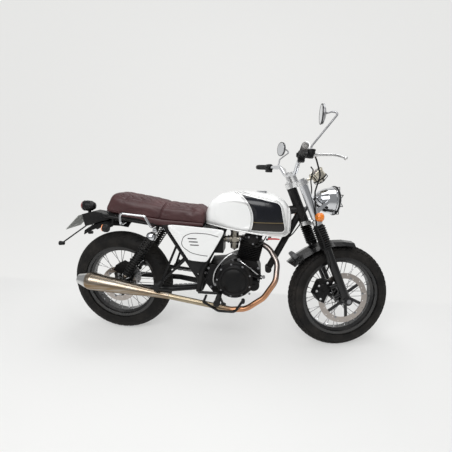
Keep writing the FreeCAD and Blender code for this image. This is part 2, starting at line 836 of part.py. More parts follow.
def make_instrument():
    """A round clock on an arm from the upper yoke."""
    case = turned_along([(0, size.clock_radius * 0.6), (size.clock_depth * 0.2, size.clock_radius),
                         (size.clock_depth * 0.8, size.clock_radius),
                         (size.clock_depth * 0.86, size.clock_radius * 1.1),
                         (size.clock_depth, size.clock_radius * 1.1)],
                        clock_centre - clock_facing * size.clock_depth / 2, clock_facing)
    arm = rod(on_fork(fork_offset, 0, size.upper_yoke + size.yoke_depth / 2), clock_centre,
              size.riser_radius / 2)
    return largest(fused([case, arm]).cut(yoke(size.upper_yoke, size.yoke_boss_radius)))


instrument = make_instrument()
stands(feature("instrument", instrument), parked_turned)

lamp_guard_sizes = {
    "guard_band": 6,
    "guard_band_wall": 4,
    "guard_wire_radius": 2,
    "lamp_guard_reach": 30,
    "lamp_guard_wires": 8,
    "clock_guard_reach": 20,
    "clock_guard_wires": 6,
}
name_sizes(lamp_guard_sizes)


def wire_guard(centre, along, radius, reach, wires):
    """A band round a lamp's rim, with wires that run ahead of it and in to a small ring."""
    along = V(along).normalize()
    right = along.cross(ACROSS).normalize()
    inner_ring = radius * 0.36
    shapes = [ring(centre - along * size.guard_band, along, radius + size.guard_band_wall, radius,
                   size.guard_band)]
    shapes.append(ring(centre + along * (reach - size.guard_wire_radius), along,
                       inner_ring + size.guard_wire_radius,
                       inner_ring - size.guard_wire_radius, 2 * size.guard_wire_radius))
    for index in range(int(wires)):
        angle = 2 * math.pi * (index + 0.5) / wires
        outward = right * math.cos(angle) + ACROSS * math.sin(angle)
        foot = centre + outward * (radius + size.guard_band_wall / 2)
        elbow = foot + along * reach * 0.55
        shapes.append(rod(foot - along * size.guard_band / 2, elbow, size.guard_wire_radius))
        shapes.append(rod(elbow, centre + outward * inner_ring + along * reach, size.guard_wire_radius))
        shapes.append(Part.makeSphere(size.guard_wire_radius, elbow))
    return fused(shapes)


lamp_guard = wire_guard(lamp_face, FORWARD, size.lamp_radius, size.lamp_guard_reach, size.lamp_guard_wires)
clock_back = clock_centre - clock_facing * size.clock_depth / 2
clock_guard = wire_guard(clock_back + clock_facing * size.clock_depth * 0.2, -clock_facing,
                         size.clock_radius,
                         size.clock_guard_reach, size.clock_guard_wires)
guards = [largest(lamp_guard.cut(headlight)), largest(clock_guard.cut(instrument))]
stands(feature("lamp_guards", Part.makeCompound(guards)), parked_turned)


def indicator(root, outward, reach):
    """A stem and a round lamp that faces along the bike."""
    centre = root + outward * (reach + size.indicator_radius)
    stem = rod(root, centre, size.indicator_stem_radius)
    lamp = turned_along([(-0.5 * size.indicator_depth, size.indicator_radius * 0.72),
                         (-0.2 * size.indicator_depth, size.indicator_radius),
                         (0.3 * size.indicator_depth, size.indicator_radius),
                         (0.5 * size.indicator_depth, size.indicator_radius * 0.8)], centre, FORWARD)
    return fused([stem, lamp])


front_root = on_fork(fork_offset, size.leg_spread + size.fork_tube_radius + size.cover_wall / 2,
                     size.front_indicator_rise)
front_indicator = largest(indicator(front_root, ACROSS, size.indicator_reach / 3).cut(headlight))
stands(feature("front_indicators", both_sides(front_indicator)), parked_turned)


# Front mudguard, brake and hose

front_guard_sizes = {
    "front_guard_radius": 326,
    "front_guard_rise": 44,
    "front_guard_half": 66,
    "front_guard_drop": 26,
    "guard_wall": 3,
    "front_guard_start": 78,
    "front_guard_end": 148,
    "guard_brace_width": 34,
}
name_sizes(front_guard_sizes)


# shares of a mudguard's half width and drop, from edge to edge over its crown
guard_spread_shares = [(-1.0, 1.0), (-0.62, 0.28), (0.0, 0.0), (0.62, 0.28), (1.0, 1.0)]


def guard_section(radius, half, drop, wall, angle, centre, back):
    """The curved section of a mudguard, at an angle around the axle from straight ahead."""
    outward = V(math.cos(math.radians(angle)), 0, math.sin(math.radians(angle)))
    middle = centre + outward * (radius + back)
    outer = [middle + ACROSS * across * half - outward * drop * down for across, down in guard_spread_shares]
    inner = [middle - outward * wall + ACROSS * across * (half - wall) - outward * drop * down
             for across, down in reversed(guard_spread_shares)]
    return Part.makePolygon(outer + inner + outer[:1])


def mudguard(radius, half, drop, wall, start, end, centre, growth, steps=6):
    """A skin that follows the tyre, drawn through sections set around the axle."""
    wires = []
    for index in range(steps + 1):
        share = index / steps
        wires.append(guard_section(radius, half, drop, wall, start + (end - start) * share, centre,
                                   growth * share ** 2))
    return Part.makeLoft(wires, True, True)


front_guard = mudguard(size.front_guard_radius, size.front_guard_half, size.front_guard_drop,
                       size.guard_wall,
                       size.front_guard_start, size.front_guard_end, front_axle, size.front_guard_rise)
brace_pieces = []
for sign in (1, -1):
    brace_foot = size.slider_top - size.guard_brace_width
    brace_out = fork_offset - size.guard_brace_width / 2
    guard_y = size.front_guard_half - size.guard_wall * 2
    outline = [on_fork(brace_out, sign * size.leg_spread, brace_foot),
               on_fork(brace_out, sign * size.leg_spread, size.slider_top),
               on_fork(brace_out, sign * guard_y, size.slider_top + size.guard_brace_width * 0.7),
               on_fork(brace_out, sign * guard_y, size.slider_top - size.guard_brace_width * 0.3)]
    brace_pieces.append(slab(outline, steer_out * size.guard_brace_width))
legs_solid = [leg_line(axle_rise, size.slider_top, size.slider_radius + size.running_gap, side)
              for side in (1, -1)]
legs_solid += [leg_line(size.slider_top, size.gaiter_top, size.gaiter_radius + size.soft_gap, side)
               for side in (1, -1)]
stands(feature("front_mudguard", fused([front_guard] + brace_pieces).cut(legs_solid)), parked_turned)

caliper_sizes = {
    "caliper_length": 128,
    "caliper_height": 74,
    "caliper_half": 26,
    "rear_caliper_half": 21,
    "front_caliper_angle": 158,
    "rear_caliper_angle": 62,
    "caliper_slot": 3,
}
name_sizes(caliper_sizes)


def caliper(centre, disc_radius, disc_y, angle, half_width):
    """A brake caliper: a block that straddles the disc's edge, with the slot the disc runs in."""
    outward = V(math.cos(math.radians(angle)), 0, math.sin(math.radians(angle)))
    along = V(-outward.z, 0, outward.x)
    middle = centre + outward * disc_radius + ACROSS * disc_y
    half = along * size.caliper_length / 2
    chamfer = along * size.caliper_length / 5
    out = outward * size.caliper_height / 2
    start = middle - ACROSS * half_width
    outline = [start - half - out, start + half - out, start + half, start + half - chamfer + out,
               start - half + chamfer + out, start - half]
    block = slab(outline, ACROSS * 2 * half_width)
    slot_half = size.disc_thickness / 2 + size.caliper_slot
    gap = Part.makeCylinder(disc_radius + size.caliper_slot * 2, 2 * slot_half,
                            centre + ACROSS * (disc_y - slot_half), ACROSS)
    return block.cut(gap)


front_caliper = caliper(front_axle, size.front_disc_radius, -size.front_disc_offset,
                        size.front_caliper_angle,
                        size.caliper_half)
front_caliper = front_caliper.cut([leg_line(axle_rise - size.axle_lug_drop, size.slider_top,
                                            size.slider_radius + size.running_gap, -1), right_slider])
stands(feature("front_caliper", front_caliper), parked_turned)


# Frame

frame_sizes = {
    "backbone_radius": 24,
    "downtube_radius": 19,
    "side_tube_radius": 17,
    "rail_radius": 11,
    "strut_radius": 10,
    "tube_bend": 60,
    "pivot_forward": 505,
    "pivot_height": 316,
    "pivot_spread": 106,
    "rail_spread": 92,
    "rail_front": 640,
    "rail_middle": 300,
    "rail_middle_rise": 18,
    "rail_rear": -60,
    "rail_rear_rise": 64,
    "backbone_front_rise": 880,
    "backbone_rear": 600,
    "backbone_rear_rise": 24,
    "downtube_rise": 862,
    "downtube_foot": 905,
    "downtube_foot_height": 442,
    "head_tube_length": 196,
    "pivot_bolt_radius": 8,
}
name_sizes(frame_sizes)
head_low = size.lower_yoke + size.yoke_depth + size.head_gap
head_high = size.upper_yoke - size.head_gap
rail_middle_height = size.rail_front_height + size.rail_middle_rise
rail_rear_height = size.rail_front_height + size.rail_rear_rise
swing_pivot = V(size.pivot_forward, 0, size.pivot_height)
rail_front = V(size.rail_front, size.rail_spread * 0.9, size.rail_front_height)
rail_middle = V(size.rail_middle, size.rail_spread, rail_middle_height)
rail_rear = V(size.rail_rear, size.rail_spread, rail_rear_height)
side_foot = V(size.pivot_forward, size.pivot_spread, size.pivot_height)
backbone_front = on_fork(0, 0, size.backbone_front_rise)
backbone_rear = V(size.backbone_rear, 0, size.rail_front_height + size.backbone_rear_rise)
strut_foot = side_foot + UP * size.caliper_height


def make_frame():
    """The main frame: steering head, backbone, front downtube and the side tubes to the rear pivot."""
    head = ring(on_fork(0, 0, head_low), steer_up, size.head_tube_radius,
                size.stem_radius + size.running_gap,
                head_high - head_low)
    bore = rod(on_fork(0, 0, size.lower_yoke), on_fork(0, 0, size.upper_yoke),
               size.stem_radius + size.running_gap)
    backbone = rod(backbone_front, backbone_rear, size.backbone_radius)
    downtube_top = on_fork(0, 0, size.downtube_rise)
    downtube = rod(downtube_top, V(size.downtube_foot, 0, size.downtube_foot_height), size.downtube_radius)
    left = []
    left.append(rod(backbone_rear, rail_front, size.side_tube_radius))
    left.append(tube([rail_front, side_foot + V(size.side_tube_radius, 0, size.caliper_length), side_foot],
                     size.side_tube_radius, size.tube_bend))
    left.append(Part.makeSphere(size.side_tube_radius, rail_front))
    sides = left + [mirrored(shape) for shape in left]
    whole = fused([head, backbone, downtube] + sides)
    return whole.cut([bore])


def make_rails():
    """The seat rails, joined by a loop at the rear, with the struts down to the side tubes."""
    rail = tube([rail_front, rail_middle, rail_rear, V(rail_rear.x - size.tube_bend, 0, rail_rear.z)],
                size.rail_radius, size.tube_bend)
    strut = rod(rail_middle, strut_foot, size.strut_radius)
    return fused([rail, strut, mirrored(rail), mirrored(strut)])


frame_shape = make_frame()
rails_shape = make_rails()

swingarm_sizes = {
    "swingarm_radius": 17,
    "swingarm_spread": 106,
    "swingarm_pivot_half": 56,
    "swingarm_bend_forward": 340,
    "swingarm_bend_out": 96,
    "swing_tube_radius": 22,
    "shock_lower_forward": 45,
    "shock_lower_height": 352,
    "shock_upper_forward": 262,
    "shock_spread": 128,
    "shock_body_radius": 20,
    "shock_spring_radius": 29,
    "shock_coils": 9,
    "shock_eye_radius": 15,
    "shock_eye_width": 24,
    "shock_pin_radius": 7,
}
name_sizes(swingarm_sizes)
shock_low = V(size.shock_lower_forward, size.shock_spread, size.shock_lower_height)
shock_high = V(size.shock_upper_forward, size.shock_spread, size.rail_front_height)


def make_swingarm():
    """Two arms from the pivot tube to the rear axle, with the pins that carry the shocks."""
    pivot = rod(swing_pivot - ACROSS * size.swingarm_pivot_half,
                swing_pivot + ACROSS * size.swingarm_pivot_half,
                size.swing_tube_radius)
    bolt_half = size.pivot_spread - size.side_tube_radius
    bolt = rod(swing_pivot - ACROSS * bolt_half, swing_pivot + ACROSS * bolt_half, size.pivot_bolt_radius)
    shapes = [pivot, bolt]
    for sign in (1, -1):
        arm_start = swing_pivot + ACROSS * sign * (size.swingarm_pivot_half - size.swingarm_radius)
        arm_bend = V(size.swingarm_bend_forward, sign * size.swingarm_bend_out, size.pivot_height)
        arm_end = rear_axle + ACROSS * sign * size.swingarm_spread
        shapes.append(tube([arm_start, arm_bend, arm_end], size.swingarm_radius, size.tube_bend))
        shapes.append(Part.makeCylinder(size.swingarm_radius * 1.25, size.swingarm_radius * 1.4,
                                        arm_end - ACROSS * size.swingarm_radius * 0.7, ACROSS))
        pin_start = V(shock_low.x, sign * size.swingarm_spread, shock_low.z)
        pin_end = V(shock_low.x,
                    sign * (size.shock_spread + size.shock_eye_width / 2 + size.strut_radius / 2),
                    shock_low.z)
        shapes.append(rod(pin_start, pin_end, size.shock_pin_radius))
        shapes.append(rod(pin_start, V(pin_start.x, pin_start.y, size.pivot_height),
                          size.shock_pin_radius * 1.3))
    return fused(shapes)


axle_half = size.swingarm_spread + size.swingarm_radius * 0.7 + size.axle_head_depth
rear_spindle = rod(rear_axle - ACROSS * axle_half, rear_axle + ACROSS * axle_half,
                   size.axle_radius - size.running_gap / 2)
axle_hole = rod(rear_axle - ACROSS * 2 * axle_half, rear_axle + ACROSS * 2 * axle_half, size.axle_radius)
swingarm = make_swingarm().cut([axle_hole])
rear_nuts = []
for sign in (1, -1):
    nut_start = rear_axle + ACROSS * sign * (size.swingarm_spread + size.swingarm_radius * 0.7)
    nut_shape = rod(nut_start, nut_start + ACROSS * sign * size.axle_head_depth, size.axle_head_radius)
    rear_nuts.append(nut_shape)
axle_spacers = []
arm_face = size.swingarm_spread - size.swingarm_radius * 0.7
for start, stop in ((size.chain_line + size.sprocket_thickness / 2, arm_face),
                    (-size.rear_disc_offset - size.disc_thickness / 2, -arm_face)):
    clear = math.copysign(size.soft_gap, stop)
    axle_spacers.append(rod(rear_axle + ACROSS * (start + clear), rear_axle + ACROSS * stop,
                            size.axle_head_radius))
rear_spindle = fused([rear_spindle] + rear_nuts + axle_spacers).cut(swingarm)
stands(feature("rear_axle", rear_spindle), parked)
stands(feature("swingarm", swingarm), parked)

upper_pins = []
for sign in (1, -1):
    pin_start = V(shock_high.x, sign * size.rail_spread, shock_high.z + size.rail_radius / 2)
    pin_end = V(shock_high.x, sign * (size.shock_spread + size.shock_eye_width / 2 + size.strut_radius / 2),
                shock_high.z)
    upper_pins.append(rod(V(pin_end.x, pin_start.y, pin_end.z), pin_end, size.shock_pin_radius))
    upper_pins.append(rod(V(pin_end.x, pin_start.y, pin_end.z), pin_start + UP * size.rail_radius,
                          size.shock_pin_radius * 1.5))


def make_shock():
    """A damper with its spring, an eye at each end."""
    along = shock_high - shock_low
    length = along.Length
    direction = V(along).normalize()
    coils = int(size.shock_coils)
    start = 0.17 * length
    stop = 0.84 * length
    pitch = (stop - start) / coils
    profile = [(0, size.shock_pin_radius * 1.5), (0.14 * length, size.shock_pin_radius * 1.5),
               (0.14 * length, size.shock_spring_radius), (start, size.shock_spring_radius)]
    for index in range(coils):
        profile.append((start + pitch * (index + 0.1), size.shock_body_radius))
        profile.append((start + pitch * (index + 0.4), size.shock_body_radius))
        profile.append((start + pitch * (index + 0.55), size.shock_spring_radius))
        profile.append((start + pitch * (index + 0.9), size.shock_spring_radius))
    profile += [(stop, size.shock_spring_radius), (0.88 * length, size.shock_spring_radius),
                (0.9 * length, size.shock_body_radius), (length, size.shock_pin_radius * 1.5)]
    body = turned_along(profile, shock_low, direction)
    eyes = []
    for centre in (shock_low, shock_high):
        eyes.append(Part.makeCylinder(size.shock_eye_radius, size.shock_eye_width,
                                      centre - ACROSS * size.shock_eye_width / 2, ACROSS))
    pins = []
    for centre in (shock_low, shock_high):
        pins.append(rod(centre - ACROSS * size.shock_eye_width, centre + ACROSS * size.shock_eye_width,
                        size.shock_pin_radius + size.running_gap))
    return fused([body] + eyes).cut(pins)


stands(feature("rear_shocks", both_sides(make_shock())), parked)
rails_shape = fused([rails_shape] + upper_pins)


# Engine

engine_sizes = {
    "case_front": 862,
    "case_rear": 545,
    "case_low": 300,
    "case_high": 520,
    "case_half": 92,
    "cover_forward": 712,
    "cover_height": 408,
    "cover_radius": 102,
    "cover_out": 142,
    "case_fillet": 18,
    "barrel_foot_forward": 782,
    "barrel_foot_height": 500,
    "barrel_tilt": 12,
    "barrel_length": 82,
    "barrel_half": 66,
    "fin_count": 8,
    "fin_thickness": 3,
    "fin_reach": 16,
    "head_height": 84,
    "head_half": 62,
}
name_sizes(engine_sizes)
# shares of the case's length and height from its rear low corner
case_shares = [(0.0, 0.28), (0.16, 0.0), (0.72, 0.0), (0.98, 0.34), (1.0, 0.62), (0.92, 0.94), (0.52, 1.0),
               (0.30, 0.84), (0.06, 0.80)]
case_length = size.case_front - size.case_rear
case_rise = size.case_high - size.case_low


def case_point(along, rise, across):
    return V(size.case_rear + along * case_length, across, size.case_low + rise * case_rise)


def make_crankcase():
    """The crankcase with a round clutch cover on the right and a generator cover on the left."""
    outline = [case_point(along, rise, -size.case_half) for along, rise in case_shares]
    case = slab(outline, ACROSS * 2 * size.case_half)
    centre = V(size.cover_forward, 0, size.cover_height)
    cover = Part.makeCylinder(size.cover_radius, size.cover_out, centre, -ACROSS)
    cap = Part.makeCone(size.cover_radius * 0.86, size.cover_radius * 0.7, size.case_fillet / 2,
                        centre - ACROSS * size.cover_out, -ACROSS)
    generator = Part.makeCylinder(size.cover_radius * 0.78, size.cover_out * 0.92,
                                  centre + FORWARD * size.case_fillet, ACROSS)
    sprocket_cover = Part.makeCylinder(size.cover_radius * 0.5, size.cover_out * 0.84,
                                       V(size.case_rear + size.cover_radius * 0.5, 0,
                                         size.cover_height - size.cover_radius * 0.65), ACROSS)
    return fused([case, cover, cap, generator, sprocket_cover])


crankcase = make_crankcase()
barrel_tilt = math.radians(size.barrel_tilt)
barrel_up = V(math.sin(barrel_tilt), 0, math.cos(barrel_tilt))
barrel_ahead = V(math.cos(barrel_tilt), 0, -math.sin(barrel_tilt))
barrel_foot = V(size.barrel_foot_forward, 0, size.barrel_foot_height)


def barrel_slab(rise, depth, half, reach_share=1.0):
    """A plate square to the barrel's axis."""
    centre = barrel_foot + barrel_up * rise
    outline = []
    for ahead, across in ((-1, -0.8), (-0.8, -1), (0.8, -1), (1, -0.8), (1, 0.8), (0.8, 1), (-0.8, 1),
                          (-1, 0.8)):
        outline.append(centre + barrel_ahead * ahead * half * reach_share + ACROSS * across * half)
    return slab(outline, barrel_up * depth)


def make_barrel():
    """A finned cylinder: a core with square fins set along its axis."""
    shapes = [Part.makeCylinder(size.barrel_half - size.fin_reach, size.barrel_length + size.case_fillet * 2,
                                barrel_foot - barrel_up * size.case_fillet * 2, barrel_up)]
    pitch = size.barrel_length / size.fin_count
    for index in range(int(size.fin_count)):
        shapes.append(barrel_slab(pitch * (index + 0.5), size.fin_thickness, size.barrel_half))
    return fused(shapes)


crankcase = fused([crankcase,
                   rod(barrel_foot - barrel_up * size.case_fillet * 2, barrel_foot, size.barrel_half)])
barrel = largest(make_barrel().cut(crankcase))
stands(feature("cylinder", barrel), parked)


def make_head():
    """The cylinder head with its own fins, a cam box and a round cover on each side."""
    base = size.barrel_length
    shapes = [barrel_slab(base, size.head_height * 0.55, size.head_half - size.fin_reach / 2)]
    for index in range(3):
        shapes.append(barrel_slab(base + size.head_height * (0.06 + 0.17 * index), size.fin_thickness,
                                  size.head_half + size.fin_reach / 4))
    shapes.append(barrel_slab(base + size.head_height * 0.55, size.head_height * 0.45, size.head_half * 0.8))
    centre = barrel_foot + barrel_up * (base + size.head_height * 0.62)
    shapes.append(Part.makeCylinder(size.head_half * 0.45, size.head_half * 2,
                                    centre - ACROSS * size.head_half,
                                    ACROSS))
    return fused(shapes)


head_shape = make_head()
stands(feature("cylinder_head", head_shape), parked)

mount_boss = V(size.downtube_foot, 0, size.downtube_foot_height)
frame_shape = fused([frame_shape, Part.makeCylinder(size.downtube_radius, size.barrel_half,
                                                    mount_boss - ACROSS * size.barrel_half / 2, ACROSS)])
frame_shape = frame_shape.cut([crankcase, swingarm])
rails_shape = largest(rails_shape.cut([frame_shape, swingarm]))
frame_blocks = [frame_shape, rails_shape]
stands(feature("seat_rails", rails_shape), parked)
crankcase = crankcase.cut([swingarm])
stands(feature("crankcase", crankcase), parked)

intake_sizes = {
    "carburettor_forward": 700,
    "carburettor_height": 612,
    "carburettor_radius": 24,
    "carburettor_length": 56,
    "bowl_drop": 52,
    "intake_radius": 18,
    "airbox_front": 640,
    "airbox_rear": 400,
    "airbox_depth": 115,
    "airbox_drop": 21,
    "airbox_half": 62,
}
name_sizes(intake_sizes)
intake_port = barrel_foot + barrel_up * (size.barrel_length + size.head_height * 0.3) \
    - barrel_ahead * (size.head_half - size.fin_reach / 2)
carb_centre = V(size.carburettor_forward, 0, size.carburettor_height)


def make_carburettor():
    """The carburettor with its float bowl, on a short pipe from the head and with a boot to the air box."""
    pipe = tube([intake_port, intake_port - barrel_ahead * size.intake_radius, carb_centre,
                 V(size.airbox_front, 0, carb_centre.z)], size.intake_radius, size.tube_bend)
    body = Part.makeCylinder(size.carburettor_radius, size.carburettor_length,
                             carb_centre - FORWARD * size.carburettor_length / 2, FORWARD)
    bowl = Part.makeCylinder(size.carburettor_radius, 2 * size.bowl_drop,
                             carb_centre - UP * size.bowl_drop, UP)
    return fused([pipe, body, bowl]).cut(head_shape)


airbox_high = size.rail_front_height - size.airbox_drop
airbox_low = airbox_high - size.airbox_depth
airbox_outline = [V(size.airbox_rear, 0, airbox_low), V(size.airbox_front, 0, airbox_low),
                  V(size.airbox_front, 0, airbox_high), V(size.airbox_rear, 0, airbox_high)]
airbox_start = ACROSS * -size.airbox_half
airbox = slab([corner + airbox_start for corner in airbox_outline], ACROSS * 2 * size.airbox_half)
stands(feature("carburettor", make_carburettor()), parked)
airbox = largest(airbox.cut(frame_blocks))
stands(feature("airbox", airbox), parked)

exhaust_sizes = {
    "header_radius": 16,
    "header_bend": 90,
    "muffler_front": 350,
    "muffler_front_height": 311,
    "muffler_end": -185,
    "muffler_end_height": 384,
    "muffler_out": 190,
    "muffler_radius": 50,
    "muffler_neck_radius": 17,
    "muffler_tail_radius": 26,
    "exhaust_port_rise": 24,
}
name_sizes(exhaust_sizes)
exhaust_port = barrel_foot + barrel_up * (size.barrel_length + size.exhaust_port_rise) \
    + barrel_ahead * (size.head_half - size.fin_reach / 2)
muffler_start = V(size.muffler_front, -size.muffler_out, size.muffler_front_height)
muffler_stop = V(size.muffler_end, -size.muffler_out, size.muffler_end_height)
# the header's corners, as shares of the way from the port back to the muffler, out and down
header_shares = [(-0.10, 0.08, 0.09), (-0.19, 0.36, 0.33), (-0.175, 0.60, 0.66), (-0.05, 0.70, 1.0),
                 (0.14, 0.74, 1.25),
                 (0.31, 0.79, 1.27), (0.62, 0.90, 1.14)]


def make_header():
    """The exhaust pipe: out of the head's front, down past the crankcase and back under it."""
    back = exhaust_port.x - muffler_start.x
    down = exhaust_port.z - muffler_start.z
    corners = [exhaust_port]
    for along, out, drop in header_shares:
        corners.append(exhaust_port + V(-along * back, -out * size.muffler_out, -drop * down))
    corners.append(muffler_start)
    return tube(corners, size.header_radius, size.header_bend).cut([head_shape, crankcase])


header = make_header()
# shares of the muffler's length with its radius between the neck and the widest part
muffler_shares = [(0.0, 0.0), (0.10, 0.06), (0.35, 0.42), (0.62, 0.78), (0.80, 0.96), (0.85, 1.0),
                  (0.87, 0.96)]


def make_muffler():
    """A long cone that widens to the back, then a short one that closes in to an open end."""
    along = muffler_stop - muffler_start
    widest = size.muffler_radius - size.muffler_neck_radius
    profile = [(share * along.Length, size.muffler_neck_radius + grow * widest) for share,
               grow in muffler_shares]
    profile.append((along.Length, size.muffler_tail_radius))
    body = turned_along(profile, muffler_start, along)
    mouth = turned_along([(along.Length * 0.9, size.muffler_tail_radius * 0.8),
                          (along.Length + size.cut_overrun, size.muffler_tail_radius * 0.8)],
                         muffler_start, along)
    return body.cut(mouth)


muffler = make_muffler()
stands(feature("exhaust_header", largest(header.cut(muffler))), parked)
stands(feature("muffler", muffler), parked)


# Tank, seat and panels

tank_sizes = {
    "tank_rear": 538,
    "tank_front": 1014,
    "tank_drop": 10,
    "tank_rise": 234,
    "tank_half": 138,
    "tank_squareness": 3.2,
    "tunnel_half": 34,
    "knee_forward": 690,
    "knee_rise": 84,
    "knee_radius": 116,
    "knee_slope": 20,
    "knee_half": 112,
    "cap_radius": 30,
    "cap_height": 10,
    "cap_forward": 850,
}
name_sizes(tank_sizes)
# shares of the tank's length, with the section's low and high edge and its half width
tank_shares = [(0.0, 0.12, 0.52, 0.44), (0.03, 0.10, 0.66, 0.62), (0.12, 0.09, 0.86, 0.80),
               (0.28, 0.07, 0.97, 0.92),
               (0.50, 0.05, 1.00, 0.98), (0.70, 0.03, 0.97, 1.00), (0.86, 0.01, 0.88, 0.94),
               (0.95, 0.01, 0.74, 0.82), (1.0, 0.08, 0.56, 0.60)]
tank_length = size.tank_front - size.tank_rear
tank_low = size.rail_front_height - size.tank_drop


def make_tank():
    """The fuel tank, drawn through sections, with a tunnel for the backbone and knee recesses."""
    wires = []
    for along, low, high, wide in tank_shares:
        centre = V(size.tank_rear + along * tank_length, 0, tank_low + (low + high) / 2 * size.tank_rise)
        wires.append(oval_wire(centre, ACROSS, UP, wide * size.tank_half, (high - low) / 2 * size.tank_rise,
                               size.tank_squareness))
    lift = UP * (size.backbone_radius + size.case_fillet)
    drop = UP * size.tank_rise
    stretch = (backbone_front - backbone_rear) * 0.3
    outline = [backbone_rear - stretch + lift, backbone_front + stretch + lift,
               backbone_front + stretch - drop, backbone_rear - stretch - drop]
    tunnel = slab([corner - ACROSS * size.tunnel_half for corner in outline], ACROSS * 2 * size.tunnel_half)
    depth = size.tank_half + size.cut_overrun - size.knee_half
    recess = Part.makeCone(size.knee_radius, size.knee_radius + size.knee_slope, depth,
                           V(size.knee_forward, size.knee_half, tank_low + size.knee_rise), ACROSS)
    return loft(wires).cut([tunnel, recess, mirrored(recess)])


tank = largest(make_tank().cut(frame_blocks))
cap_base = V(size.cap_forward, 0, tank_low + size.tank_rise - size.cap_height)
tank_cap = Part.makeCylinder(size.cap_radius, size.cap_height * 1.2, cap_base, UP)
stands(feature("fuel_cap", largest(tank_cap.cut(tank))), parked)

seat_sizes = {
    "seat_front": 536,
    "seat_rear": -70,
    "seat_half": 112,
    "seat_thickness": 112,
    "seat_base_wall": 8,
    "seat_base_half": 100,
}
name_sizes(seat_sizes)
# shares of the seat's length from the rear, with its thickness and its half width there
seat_shares = [(0.0, 0.26, 0.66), (0.05, 0.70, 0.84), (0.12, 0.94, 0.94), (0.30, 1.0, 1.0),
               (0.46, 0.92, 1.0),
               (0.57, 0.79, 1.0), (0.72, 0.70, 0.97), (0.90, 0.67, 0.90), (1.0, 0.60, 0.80)]


def rail_height(x):
    """The height of the seat rail's top at a distance along the bike."""
    if x > size.rail_middle:
        share = (x - size.rail_middle) / (size.rail_front - size.rail_middle)
        middle = rail_middle_height + share * (size.rail_front_height - rail_middle_height)
    else:
        share = (x - size.rail_rear) / (size.rail_middle - size.rail_rear)
        middle = rail_rear_height + share * (rail_middle_height - rail_rear_height)
    return middle + size.rail_radius


def make_seat_pad():
    """A long cushion in two steps, drawn through sections that follow the rails."""
    wires = []
    length = size.seat_front - size.seat_rear
    for along, thick, wide in seat_shares:
        x = size.seat_rear + along * length
        height = thick * size.seat_thickness
        centre = V(x, 0, rail_height(x) + size.seat_base_wall + size.soft_gap + height / 2)
        wires.append(oval_wire(centre, ACROSS, UP, wide * size.seat_half, height / 2, 3.2))
    return loft(wires)


def make_seat_base():
    """A thin plate that follows the rails under the cushion, narrower at both ends."""
    inset = size.seat_half - size.seat_base_half
    rear = size.seat_rear + inset
    front = size.seat_front - inset
    side = [V(x, -size.seat_half, rail_height(x)) for x in (rear, size.rail_middle, front)]
    side += [corner + UP * size.seat_base_wall for corner in reversed(side)]
    plan = []
    for share, wide in ((0.0, 0.62), (0.10, 0.88), (0.25, 1.0), (0.80, 0.95), (1.0, 0.80)):
        plan.append(V(rear + share * (front - rear), wide * size.seat_base_half, 0))
    plan += [V(corner.x, -corner.y, 0) for corner in reversed(plan)]
    return slab(side, ACROSS * 2 * size.seat_half).common(slab(plan, UP * 2 * rail_rear_height))


seat_base = make_seat_base()
seat_pad = largest(make_seat_pad().cut([tank, seat_base]))
seat_base = largest(seat_base.cut(frame_blocks + [tank]))
stands(feature("seat_base", seat_base), parked)
stands(feature("seat_pad", seat_pad), parked)
stands(feature("fuel_tank", tank), parked)

panel_sizes = {
    "panel_out": 142,
    "panel_wall": 12,
    "panel_rear_top": 334,
    "panel_rear_rise": 20,
    "panel_front_top": 645,
    "panel_front_drop": 2,
    "panel_low_front": 556,
    "panel_low_rear": 446,
    "panel_low_drop": 162,
    "panel_fillet": 10,
    "panel_slot_length": 52,
    "panel_slot_height": 7,
    "panel_slot_rear": 449,
    "panel_slot_drop": 38,
    "panel_slot_step": 18,
    "panel_line_radius": 1.6,
}
name_sizes(panel_sizes)


def make_side_panel():
    """A flat triangular cover with rounded edges, outside the frame's side tubes."""
    body = doc.addObject("PartDesign::Body", "side_panel_body")
    outline = [
        ("Sizes.panel_rear_top", "Sizes.rail_front_height + Sizes.panel_rear_rise"),
        ("Sizes.panel_front_top", "Sizes.rail_front_height - Sizes.panel_front_drop"),
        ("Sizes.panel_low_front", "Sizes.rail_front_height - Sizes.panel_low_drop"),
        ("Sizes.panel_low_rear", "Sizes.rail_front_height - Sizes.panel_low_drop + Sizes.panel_wall"),
    ]
    sketch = sketched(body, "XZ_Plane", "side_panel_outline", outline)
    pad = body.newObject("PartDesign::Pad", "side_panel_pad")
    pad.Profile = sketch
    pad.setExpression("Length", "Sizes.panel_wall")
    body.recompute(True)
    fillet = body.newObject("PartDesign::Fillet", "side_panel_fillet")
    fillet.Base = (pad, [f"Edge{index + 1}" for index, edge in enumerate(pad.Shape.Edges)
                         if abs(edge.tangentAt(edge.FirstParameter).y) > 0.9])
    fillet.setExpression("Radius", "Sizes.panel_fillet")
    body.recompute(True)
    return body


panel_body = make_side_panel()
panel_shape = panel_body.Shape.copy()
panel_shape.translate(V(0, -size.panel_out + size.panel_wall, 0))
panel_pegs = []
for share in (0.25, 0.75):
    peg_x = size.panel_rear_top + share * (size.panel_front_top - size.panel_rear_top)
    peg_fall = size.panel_front_drop * share + size.panel_wall
    peg_z = size.rail_front_height + size.panel_rear_rise * (1 - share) - peg_fall
    panel_pegs.append(rod(V(peg_x, -size.panel_out + size.panel_wall, peg_z),
                          V(peg_x, -size.rail_spread, peg_z + size.rail_radius), size.indicator_stem_radius))
